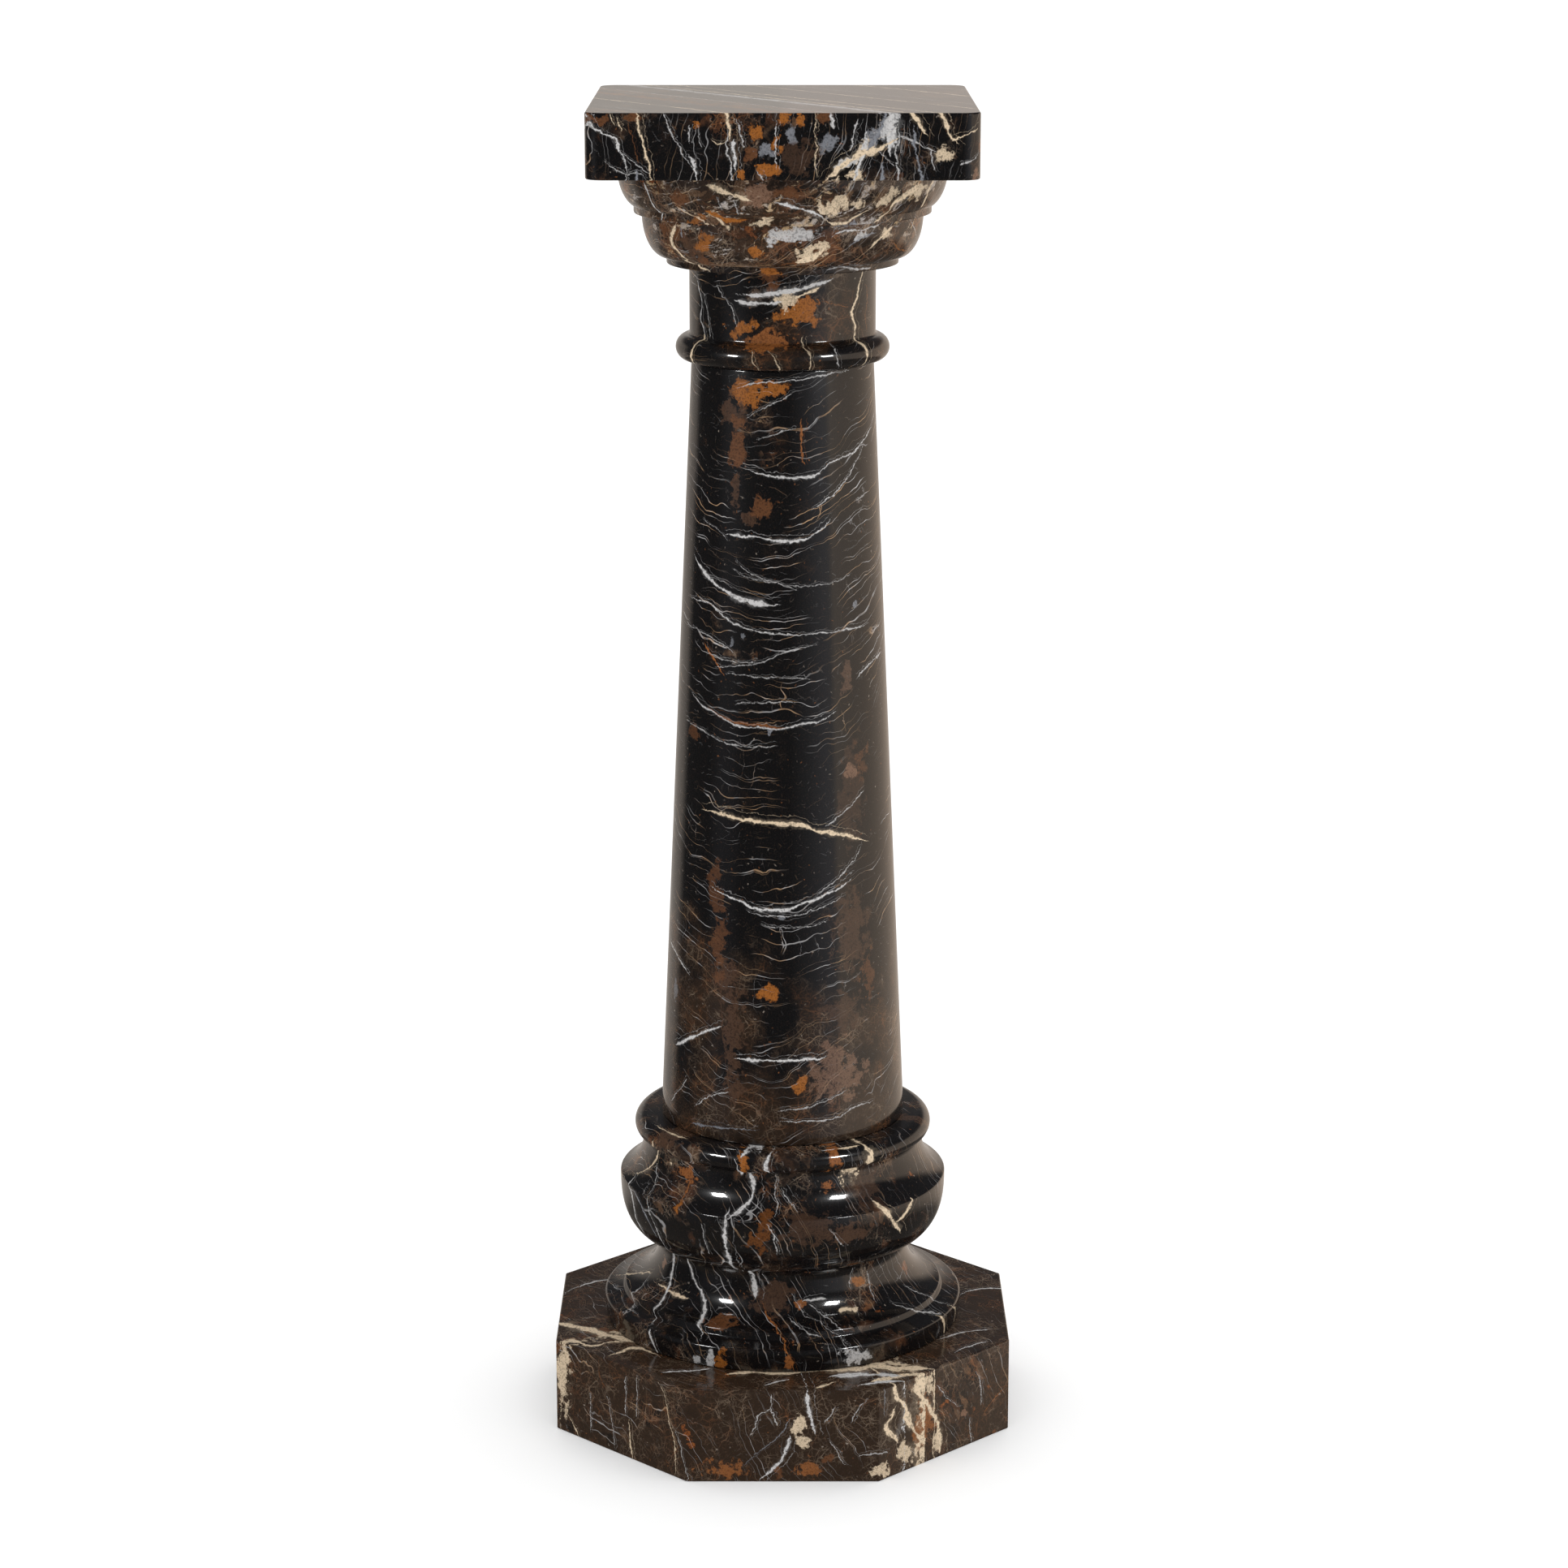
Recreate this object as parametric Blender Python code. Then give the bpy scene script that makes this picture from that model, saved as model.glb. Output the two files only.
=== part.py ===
"""Turned marble pedestal: a square top slab, a moulded capital, a tapered shaft,
a turned base and an octagonal plinth. Metres, +Z up. The origin is the centre of
the plinth's underside, and the front of the pedestal faces -Y.
"""

import math

import bmesh
import bpy

# Overall sizes. Heights are measured up from the floor.
TOTAL_HEIGHT = 1.0912
SLAB_SIDE = 0.300
SLAB_THICKNESS = 0.0505
PLINTH_ACROSS_FLATS = 0.3760
PLINTH_HEIGHT = 0.0786
JOINT_GAP = 0.0003

# Joint heights between the stones, each at the top of the lower stone.
BASE_TOP = 0.2555
SHAFT_TOP = 0.8852
CAPITAL_TOP = TOTAL_HEIGHT - SLAB_THICKNESS - JOINT_GAP

# How finely the round stones are faceted: sides round the axis, and steps along each moulding.
SIDES = 56
UPPER_OVOLO_STEPS = 6
LOWER_OVOLO_STEPS = 7
HALF_ROUND_STEPS = 9
SMALL_HOLLOW_STEPS = 3
HOLLOW_STEPS = 7
BOWL_STEPS = 10
FOOT_RING_STEPS = 3

# A turn between faces beyond this many degrees is shaded as an edge.
SHARP_EDGE = 32

# Colours of the five stones, as light, and the polish of all of them.
SLAB_BLACK = (0.035, 0.032, 0.030)
CAPITAL_BROWN = (0.060, 0.046, 0.036)
SHAFT_BLACK = (0.045, 0.036, 0.030)
BASE_BLACK = (0.032, 0.026, 0.023)
PLINTH_BROWN = (0.050, 0.040, 0.034)
POLISHED_ROUGHNESS = 0.09

# Square slab and octagonal plinth edges.
SLAB_CORNER_RADIUS = 0.014
SLAB_CORNER_STEPS = 5
SLAB_ARRIS = 0.0014
PLINTH_ARRIS = 0.0012

# Capital, from the top down.
UPPER_OVOLO_RADIUS = 0.1314
UPPER_OVOLO_REACH = 0.0174
UPPER_OVOLO_FALL = 0.0334
UPPER_OVOLO_SWEEP = 73
UPPER_FILLET_RADIUS = 0.1183
UPPER_FILLET_HEIGHT = 0.0058
LOWER_OVOLO_RADIUS = 0.1119
LOWER_OVOLO_REACH = 0.0180
LOWER_OVOLO_FALL = 0.0346
LOWER_FILLET_RADIUS = 0.0924
LOWER_FILLET_HEIGHT = 0.0055
FILLET_ROUNDING = 0.0010
NECK_RADIUS = 0.0744
ASTRAGAL_CENTRE_RADIUS = 0.0754
ASTRAGAL_ROUND = 0.0102
ASTRAGAL_HOLLOW = 0.0024

# Shaft, a straight taper with a softened top edge.
SHAFT_TOP_RADIUS = 0.0731
SHAFT_FOOT_RADIUS = 0.1011
SHAFT_TOP_ROUNDING = 0.0012

# Base, from the top down.
RING_CENTRE_RADIUS = 0.1140
RING_ROUND = 0.0094
RING_SWEEP = 74
HOLLOW_ROUND = 0.0320
HOLLOW_TURN = 67
RIM_RADIUS = 0.1359
RIM_HEIGHT = 0.2037
BOWL_CENTRE_RADIUS = 0.0860
BOWL_FALL = 0.0565
BOWL_FULLNESS = 2.75
BOWL_SWEEP = 73
FLARE_ROUND = 0.0342
FLARE_TURN = 80
STEP_TOP_RADIUS = 0.1330
STEP_TOP_HEIGHT = 0.1062
STEP_FALL = 0.0057
STEP_HOLLOW = 0.0010
FOOT_RING_RADIUS = 0.1501
FOOT_RING_HEIGHT = 0.0973
FOOT_RING_ROUNDING = 0.0026
FOOT_RING_BELLY = 0.0007


def clear_scene():
    """Remove whatever the open file holds."""
    for thing in list(bpy.data.objects):
        bpy.data.objects.remove(thing, do_unlink=True)


def marble(name, colour):
    """Polished stone in one plain colour."""
    material = bpy.data.materials.new(name)
    material.use_nodes = True
    shader = material.node_tree.nodes["Principled BSDF"]
    shader.inputs["Base Color"].default_value = (*colour, 1.0)
    shader.inputs["Roughness"].default_value = POLISHED_ROUGHNESS
    shader.inputs["Metallic"].default_value = 0.0
    material.diffuse_color = (*colour, 1.0)
    return material


def arc(centre_radius, centre_height, reach, rise, start, end, steps, fullness=2.0):
    """Points of an elliptical arc, from one angle in degrees to another.

    A fullness over 2 pushes the curve out towards its corner.
    """
    power = 2.0 / fullness
    points = []
    for index in range(steps + 1):
        angle = math.radians(start + (end - start) * index / steps)
        across = math.copysign(abs(math.cos(angle)) ** power, math.cos(angle))
        up = math.copysign(abs(math.sin(angle)) ** power, math.sin(angle))
        points.append((centre_radius + reach * across, centre_height + rise * up))
    return points


def softened_edge(radius, height, rounding):
    """The two points of a small bevel under a fillet."""
    return [(radius, height + rounding), (radius - rounding, height)]


def turned_stone(name, profile, material):
    """Spin a profile of (radius, height) points, top to bottom, into a closed stone."""
    mesh = bpy.data.meshes.new(name)
    shape = bmesh.new()
    rings = []
    for radius, height in profile:
        ring = []
        for side in range(SIDES):
            angle = 2 * math.pi * (side + 0.5) / SIDES
            ring.append(shape.verts.new((radius * math.cos(angle), radius * math.sin(angle), height)))
        rings.append(ring)
    for upper, lower in zip(rings, rings[1:]):
        for side in range(SIDES):
            following = (side + 1) % SIDES
            shape.faces.new((upper[side], lower[side], lower[following], upper[following]))
    shape.faces.new(rings[0])
    shape.faces.new(list(reversed(rings[-1])))
    shape.to_mesh(mesh)
    shape.free()
    mesh.shade_smooth()
    mesh.set_sharp_from_angle(angle=math.radians(SHARP_EDGE))
    return add_stone(name, mesh, material)


def flat_stone(name, outline, low, high, arris, material):
    """Raise an outline, seen from above, into a slab with its top and bottom edges eased."""
    mesh = bpy.data.meshes.new(name)
    shape = bmesh.new()
    corners = [shape.verts.new((x, y, low)) for x, y in outline]
    floor_face = shape.faces.new(list(reversed(corners)))
    raised = bmesh.ops.extrude_face_region(shape, geom=[floor_face], use_keep_orig=True)
    top_corners = [item for item in raised["geom"] if isinstance(item, bmesh.types.BMVert)]
    bmesh.ops.translate(shape, verts=top_corners, vec=(0.0, 0.0, high - low))
    bmesh.ops.recalc_face_normals(shape, faces=shape.faces)
    level_edges = [edge for edge in shape.edges if edge.verts[0].co.z == edge.verts[1].co.z]
    bmesh.ops.bevel(shape, geom=level_edges, offset=arris, segments=1, affect="EDGES")
    shape.to_mesh(mesh)
    shape.free()
    mesh.shade_smooth()
    mesh.set_sharp_from_angle(angle=math.radians(SHARP_EDGE))
    return add_stone(name, mesh, material)


def add_stone(name, mesh, material):
    """Put a finished mesh in the scene under its name."""
    mesh.materials.append(material)
    stone = bpy.data.objects.new(name, mesh)
    bpy.context.scene.collection.objects.link(stone)
    return stone


def rounded_square(side, radius, steps):
    """Corner points of a square with rounded corners, anticlockwise."""
    points = []
    reach = side / 2 - radius
    for quarter in range(4):
        start = math.pi / 2 * quarter
        centre_x = reach * math.copysign(1.0, math.cos(start + math.pi / 4))
        centre_y = reach * math.copysign(1.0, math.sin(start + math.pi / 4))
        for index in range(steps + 1):
            angle = start + math.pi / 2 * index / steps
            points.append((centre_x + radius * math.cos(angle), centre_y + radius * math.sin(angle)))
    return points


def octagon(across_flats):
    """Corner points of a regular octagon with one flat facing the front."""
    corner_radius = across_flats / 2 / math.cos(math.pi / 8)
    angles = [math.pi / 8 + math.pi / 4 * index for index in range(8)]
    return [(corner_radius * math.cos(angle), corner_radius * math.sin(angle)) for angle in angles]


def make_top_slab():
    """The square slab that carries whatever stands on the pedestal."""
    outline = rounded_square(SLAB_SIDE, SLAB_CORNER_RADIUS, SLAB_CORNER_STEPS)
    low = TOTAL_HEIGHT - SLAB_THICKNESS
    stone = marble("top_slab_marble", SLAB_BLACK)
    return flat_stone("top_slab", outline, low, TOTAL_HEIGHT, SLAB_ARRIS, stone)


def capital_profile():
    """Two ovolos with a fillet under each, the neck, and the astragal."""
    profile = arc(UPPER_OVOLO_RADIUS - UPPER_OVOLO_REACH, CAPITAL_TOP, UPPER_OVOLO_REACH,
                  UPPER_OVOLO_FALL, 0, -UPPER_OVOLO_SWEEP, UPPER_OVOLO_STEPS)
    height = profile[-1][1]
    profile.append((UPPER_FILLET_RADIUS, height))
    height -= UPPER_FILLET_HEIGHT
    profile += softened_edge(UPPER_FILLET_RADIUS, height, FILLET_ROUNDING)
    profile += arc(LOWER_OVOLO_RADIUS - LOWER_OVOLO_REACH, height, LOWER_OVOLO_REACH,
                   LOWER_OVOLO_FALL, 0, -90, LOWER_OVOLO_STEPS)
    height = profile[-1][1]
    profile.append((LOWER_FILLET_RADIUS, height))
    height -= LOWER_FILLET_HEIGHT
    profile += softened_edge(LOWER_FILLET_RADIUS, height, FILLET_ROUNDING)
    profile.append((NECK_RADIUS, height))
    return profile + astragal_profile()


def astragal_profile():
    """The half-round ring at the foot of the capital, met by a small hollow from the neck."""
    bottom = SHAFT_TOP + JOINT_GAP
    centre_height = bottom + ASTRAGAL_ROUND
    hollow_radius = NECK_RADIUS + ASTRAGAL_HOLLOW
    across = hollow_radius - ASTRAGAL_CENTRE_RADIUS
    rise = math.sqrt((ASTRAGAL_ROUND + ASTRAGAL_HOLLOW) ** 2 - across ** 2)
    touch = math.degrees(math.atan2(rise, across))
    points = arc(hollow_radius, centre_height + rise, ASTRAGAL_HOLLOW, ASTRAGAL_HOLLOW,
                 180, 180 + touch, SMALL_HOLLOW_STEPS)
    points += arc(ASTRAGAL_CENTRE_RADIUS, centre_height, ASTRAGAL_ROUND, ASTRAGAL_ROUND,
                  touch, -90, HALF_ROUND_STEPS)[1:]
    return points


def make_capital():
    """The turned stone between the slab and the shaft."""
    stone = marble("capital_marble", CAPITAL_BROWN)
    return turned_stone("capital", capital_profile(), stone)


def make_shaft():
    """The long tapered drum of the column."""
    profile = [
        (SHAFT_TOP_RADIUS - SHAFT_TOP_ROUNDING, SHAFT_TOP),
        (SHAFT_TOP_RADIUS, SHAFT_TOP - SHAFT_TOP_ROUNDING),
        (SHAFT_FOOT_RADIUS, BASE_TOP + JOINT_GAP),
    ]
    stone = marble("shaft_marble", SHAFT_BLACK)
    return turned_stone("shaft", profile, stone)


def hollow(edge_radius, edge_height, rounding, turn, top):
    """A hollow cut with a round tool, from its top level down and out to its lower edge.

    The turn is how far past upright the curve has swung where it meets that edge.
    """
    centre_radius = edge_radius + rounding * math.cos(math.radians(turn))
    centre_height = edge_height + rounding * math.sin(math.radians(turn))
    start = 180 - math.degrees(math.asin((top - centre_height) / rounding))
    return arc(centre_radius, centre_height, rounding, rounding, start, 180 + turn, HOLLOW_STEPS)


def base_profile():
    """Half-round ring, hollow, bowl, waist, flared foot with its step, and foot ring."""
    ring_height = BASE_TOP - RING_ROUND
    profile = arc(RING_CENTRE_RADIUS, ring_height, RING_ROUND, RING_ROUND, 90, -RING_SWEEP,
                  HALF_ROUND_STEPS)
    profile += hollow(RIM_RADIUS, RIM_HEIGHT, HOLLOW_ROUND, HOLLOW_TURN, profile[-1][1])[1:]
    profile += arc(BOWL_CENTRE_RADIUS, RIM_HEIGHT, RIM_RADIUS - BOWL_CENTRE_RADIUS, BOWL_FALL,
                   0, -BOWL_SWEEP, BOWL_STEPS, BOWL_FULLNESS)[1:]
    return profile + foot_profile(profile[-1][1])


def foot_profile(waist_height):
    """The flare from the waist down to the step, and the low round ring under it."""
    points = hollow(STEP_TOP_RADIUS, STEP_TOP_HEIGHT, FLARE_ROUND, FLARE_TURN, waist_height)[1:]
    step_foot = STEP_TOP_HEIGHT - STEP_FALL
    points.append((STEP_TOP_RADIUS + STEP_HOLLOW, step_foot))
    shoulder = FOOT_RING_RADIUS - FOOT_RING_ROUNDING
    low_shoulder = FOOT_RING_HEIGHT - FOOT_RING_ROUNDING
    points += arc(shoulder, low_shoulder, FOOT_RING_ROUNDING, FOOT_RING_ROUNDING,
                  90, 0, FOOT_RING_STEPS)
    points.append((FOOT_RING_RADIUS - FOOT_RING_BELLY, PLINTH_HEIGHT + JOINT_GAP))
    return points


def make_base():
    """The turned stone between the shaft and the plinth."""
    stone = marble("base_marble", BASE_BLACK)
    return turned_stone("base", base_profile(), stone)


def make_plinth():
    """The octagonal slab that stands on the floor."""
    stone = marble("plinth_marble", PLINTH_BROWN)
    return flat_stone("plinth", octagon(PLINTH_ACROSS_FLATS), 0.0, PLINTH_HEIGHT, PLINTH_ARRIS, stone)


clear_scene()
make_plinth()
make_base()
make_shaft()
make_capital()
make_top_slab()
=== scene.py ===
import math

import bmesh
import bpy
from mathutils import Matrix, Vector


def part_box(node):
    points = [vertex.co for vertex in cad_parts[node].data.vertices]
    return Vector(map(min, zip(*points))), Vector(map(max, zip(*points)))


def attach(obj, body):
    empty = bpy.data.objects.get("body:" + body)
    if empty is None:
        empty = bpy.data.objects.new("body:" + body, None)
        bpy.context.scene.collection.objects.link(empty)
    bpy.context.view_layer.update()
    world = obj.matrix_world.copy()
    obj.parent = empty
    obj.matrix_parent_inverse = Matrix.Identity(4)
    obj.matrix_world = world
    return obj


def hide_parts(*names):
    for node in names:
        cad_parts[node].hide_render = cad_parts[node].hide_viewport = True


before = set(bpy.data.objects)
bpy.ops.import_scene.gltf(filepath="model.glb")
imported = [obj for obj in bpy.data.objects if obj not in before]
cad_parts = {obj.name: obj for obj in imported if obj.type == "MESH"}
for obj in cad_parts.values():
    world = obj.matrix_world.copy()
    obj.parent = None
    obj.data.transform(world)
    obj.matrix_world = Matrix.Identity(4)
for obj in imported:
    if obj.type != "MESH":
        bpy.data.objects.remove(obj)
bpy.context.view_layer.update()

# The camera stands a little above the top slab and looks down the whole pedestal
# through a long lens, with the frame shifted by a hair so that the column sits as photographed.
IMAGE_SIDE = 1932
FOCAL_LENGTH_PIXELS = 4987.4
COLUMN_PIXEL_X = 964.3
HORIZON_CENTRE_PIXEL_Y = 970.0
SENSOR_WIDTH = 36.0
CAMERA_DISTANCE = 3.2288
CAMERA_HEIGHT = 1.3289
CAMERA_TILT = 13.87
FARTHEST_SEEN = 200.0

lens = bpy.data.cameras.new("camera")
lens.sensor_width = SENSOR_WIDTH
lens.lens = FOCAL_LENGTH_PIXELS * SENSOR_WIDTH / IMAGE_SIDE
lens.shift_x = (IMAGE_SIDE / 2 - COLUMN_PIXEL_X) / IMAGE_SIDE
lens.shift_y = (HORIZON_CENTRE_PIXEL_Y - IMAGE_SIDE / 2) / IMAGE_SIDE
lens.clip_end = FARTHEST_SEEN
camera = bpy.data.objects.new("camera", lens)
camera.location = (0.0, -CAMERA_DISTANCE, CAMERA_HEIGHT)
camera.rotation_euler = (math.radians(90.0 - CAMERA_TILT), 0.0, 0.0)
bpy.context.scene.collection.objects.link(camera)
bpy.context.scene.camera = camera
bpy.context.scene.view_settings.view_transform = "Standard"


# The floor is one wide sheet of matt white card that runs far behind the pedestal.
# It glows a little, as an overlit card does, so only the contact shadow stays grey.
FLOOR_RADIUS = 60.0
FLOOR_SIDES = 64
FLOOR_WHITE = 0.92
FLOOR_GLOW = 0.17
TOOTH_SCALE = 260.0
TOOTH_DETAIL = 4.0
TOOTH_SHADE = 0.98


class Recipe:
    """Adds nodes to one tree, each fed by plain values or by other nodes' outputs."""

    def __init__(self, tree):
        self.tree = tree

    def node(self, kind, *values, out=0, **settings):
        """A node with its settings and its inputs in order; None leaves an input as it is."""
        made = self.tree.nodes.new(kind)
        for name, value in settings.items():
            setattr(made, name, value)
        for socket, value in zip(made.inputs, values):
            self.feed(socket, value)
        return made.outputs[out]

    def feed(self, socket, value):
        if isinstance(value, bpy.types.NodeSocket):
            self.tree.links.new(value, socket)
        elif value is not None:
            socket.default_value = value

    def sum(self, operation, *values, clamp=False):
        return self.node("ShaderNodeMath", *values, operation=operation, use_clamp=clamp)

    def vector(self, operation, *values, out=0):
        return self.node("ShaderNodeVectorMath", *values, operation=operation, out=out)

    def noise(self, place, scale, detail=3.0, roughness=0.5, out=0):
        return self.node("ShaderNodeTexNoise", place, None, scale, detail, roughness, out=out)

    def cells(self, place, scale, feature="F1", out=0):
        return self.node("ShaderNodeTexVoronoi", place, None, scale, feature=feature, out=out)

    def ramp(self, value, low, high, start=0.0, end=1.0):
        """Rise smoothly from start to end as the value goes from low to high."""
        return self.node("ShaderNodeMapRange", value, low, high, start, end,
                         interpolation_type="SMOOTHSTEP", clamp=False)

    def mix(self, share, first, second, blend="MIX"):
        made = self.tree.nodes.new("ShaderNodeMix")
        made.data_type = "RGBA"
        made.blend_type = blend
        factor, under, over = made.inputs[0], made.inputs[6], made.inputs[7]
        self.feed(factor, share)
        self.feed(under, first)
        self.feed(over, second)
        return made.outputs[2]


def shade(red, green, blue):
    """A colour as the eye reads it, 0 to 255, turned into light."""
    linear = []
    for part in (red, green, blue):
        part /= 255
        linear.append(part / 12.92 if part <= 0.04045 else ((part + 0.055) / 1.055) ** 2.4)
    return (*linear, 1.0)


def new_finish(name):
    """An empty material, its recipe and its output node."""
    material = bpy.data.materials.new(name)
    material.use_nodes = True
    material.node_tree.nodes.clear()
    outlet = material.node_tree.nodes.new("ShaderNodeOutputMaterial")
    return material, Recipe(material.node_tree), outlet


floor_mesh = bpy.data.meshes.new("floor")
floor_shape = bmesh.new()
bmesh.ops.create_circle(floor_shape, cap_ends=True, segments=FLOOR_SIDES, radius=FLOOR_RADIUS)
floor_shape.to_mesh(floor_mesh)
floor_shape.free()
floor = bpy.data.objects.new("floor", floor_mesh)
bpy.context.scene.collection.objects.link(floor)
floor.visible_glossy = False
card, recipe, outlet = new_finish("white_card")
place = recipe.node("ShaderNodeTexCoord", out=3)
tooth = recipe.noise(place, TOOTH_SCALE, TOOTH_DETAIL)
tooth_white = FLOOR_WHITE * TOOTH_SHADE
card_colour = recipe.mix(tooth, (FLOOR_WHITE, FLOOR_WHITE, FLOOR_WHITE, 1.0),
                         (tooth_white, tooth_white, tooth_white, 1.0))
matt = recipe.node("ShaderNodeBsdfDiffuse", card_colour)
glow = recipe.node("ShaderNodeEmission", (1.0, 1.0, 1.0, 1.0), FLOOR_GLOW)
recipe.feed(outlet.inputs["Surface"], recipe.node("ShaderNodeAddShader", matt, glow))
floor_mesh.materials.append(card)


# The studio: soft white light all round, a little stronger from the right and behind. The polish
# mirrors a warm pale wall to the right and behind, dark cloth in front and to the left, and a
# small lamp on each side of the front, its light held to a cone.
SKY_TOP = 1.15
SKY_SIDE = 0.95
SKY_START = -0.2
SKY_LEAN = (0.15, 0.20)
SURROUND = [
    (-180, (0.49, 0.45, 0.41)),
    (-134, (0.46, 0.40, 0.35)),
    (-122, (0.05, 0.05, 0.05)),
    (-84, (0.05, 0.05, 0.05)),
    (-70, (0.14, 0.14, 0.15)),
    (-56, (0.12, 0.12, 0.13)),
    (-44, (0.05, 0.05, 0.05)),
    (8, (0.06, 0.06, 0.06)),
    (28, (0.22, 0.22, 0.23)),
    (48, (0.46, 0.45, 0.47)),
    (54, (0.52, 0.50, 0.50)),
    (60, (1.00, 0.84, 0.70)),
    (110, (0.85, 0.69, 0.55)),
    (150, (0.75, 0.60, 0.48)),
    (180, (0.52, 0.47, 0.43)),
]
OVERHEAD_DARK = (0.05, 0.05, 0.055, 1.0)
OVERHEAD_ANGLES = (9, 20)
UNDERFOOT = (0.13, 0.115, 0.10, 1.0)
UNDERFOOT_ANGLES = (-25, -19)
LAMP_SIZE = (0.28, 0.24)
LAMP_POWER = 1.6
LAMPS = [("left_lamp", (-1.14, -0.83, 1.17)), ("right_lamp", (0.90, -0.82, 1.15))]
LAMP_TARGET = (0.0, 0.0, 0.50)
LAMP_SPREAD = math.radians(44)

studio = bpy.data.worlds.new("studio")
bpy.context.scene.world = studio
studio.use_nodes = True
studio.node_tree.nodes.clear()
recipe = Recipe(studio.node_tree)
outlet = studio.node_tree.nodes.new("ShaderNodeOutputWorld")
direction = recipe.node("ShaderNodeTexCoord", out=0)
parts = recipe.node("ShaderNodeSeparateXYZ", direction).node
turn = recipe.sum("ARCTAN2", parts.outputs["X"], recipe.sum("MULTIPLY", parts.outputs["Y"], -1.0))
round_share = recipe.sum("MULTIPLY_ADD", turn, 1 / math.tau, 0.5)
wall_node = recipe.node("ShaderNodeValToRGB", round_share).node
stops = wall_node.color_ramp.elements
while len(stops) < len(SURROUND):
    stops.new(0.5)
for stop, (degrees, colour) in zip(stops, SURROUND):
    stop.position = (degrees + 180) / 360
    stop.color = (*colour, 1.0)
rise = parts.outputs["Z"]
overhead = recipe.ramp(rise, *(math.sin(math.radians(angle)) for angle in OVERHEAD_ANGLES))
gloss = recipe.mix(overhead, wall_node.outputs["Color"], OVERHEAD_DARK)
below = recipe.ramp(rise, *(math.sin(math.radians(angle)) for angle in UNDERFOOT_ANGLES), 1.0, 0.0)
gloss = recipe.mix(below, gloss, UNDERFOOT)
soft = recipe.ramp(rise, SKY_START, 1.0, SKY_SIDE, SKY_TOP)
soft = recipe.sum("MULTIPLY_ADD", parts.outputs["X"], SKY_LEAN[0], soft)
soft = recipe.sum("MULTIPLY_ADD", parts.outputs["Y"], SKY_LEAN[1], soft)
soft = recipe.node("ShaderNodeCombineXYZ", soft, soft, soft)
ray = recipe.node("ShaderNodeLightPath").node
light = recipe.mix(ray.outputs["Is Glossy Ray"], soft, gloss)
light = recipe.mix(ray.outputs["Is Camera Ray"], light, (1.0, 1.0, 1.0, 1.0))
recipe.feed(outlet.inputs["Surface"], recipe.node("ShaderNodeBackground", light, 1.0))

for name, spot in LAMPS:
    lamp_data = bpy.data.lights.new(name, "AREA")
    lamp_data.shape = "RECTANGLE"
    lamp_data.size, lamp_data.size_y = LAMP_SIZE
    lamp_data.energy = LAMP_POWER
    lamp_data.spread = LAMP_SPREAD
    lamp = bpy.data.objects.new(name, lamp_data)
    lamp.location = spot
    lamp.rotation_euler = (Vector(LAMP_TARGET) - Vector(spot)).to_track_quat("-Z", "Y").to_euler()
    lamp.visible_camera = False
    lamp.visible_diffuse = False
    bpy.context.scene.collection.objects.link(lamp)


# The plinth is an octagonal slab of dark brown marble, sawn, its faces polished flat
# and its edges just eased. Everything above stands on it by weight.
plinth_low, plinth_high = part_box("plinth")
PLINTH_ACROSS_FLATS = plinth_high[0] - plinth_low[0]
PLINTH_HEIGHT = plinth_high[2]
PLINTH_ARRIS = 0.0012
PLINTH_CORNER = 0.0008
PLINTH_GLOSS = 0.13
EASING_STEPS = 5
BROAD_FACE_AREA = 0.002
EVEN_STRIP = 0.0006
SHARP_ANGLE = math.radians(32)
ROUND_PROFILE = 0.5
LEVEL_TO_UPRIGHT = 0.5
NOISE_MIDDLE = (0.5, 0.5, 0.5)
THREAD_EDGE = 0.00008


def new_group(name, vectors, numbers, results=(("Share", "Float"),)):
    """A group of nodes: itself, its recipe, what it is given and what it gives."""
    group = bpy.data.node_groups.new(name, "ShaderNodeTree")
    taken = [(item, "Vector") for item in vectors] + [(item, "Float") for item in numbers]
    for way, sockets in (("INPUT", taken), ("OUTPUT", results)):
        for item, kind in sockets:
            group.interface.new_socket(item, in_out=way, socket_type="NodeSocket" + kind)
    recipe = Recipe(group)
    given = group.nodes.new("NodeGroupInput").outputs
    result = group.nodes.new("NodeGroupOutput").inputs
    return group, recipe, given, result


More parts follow.
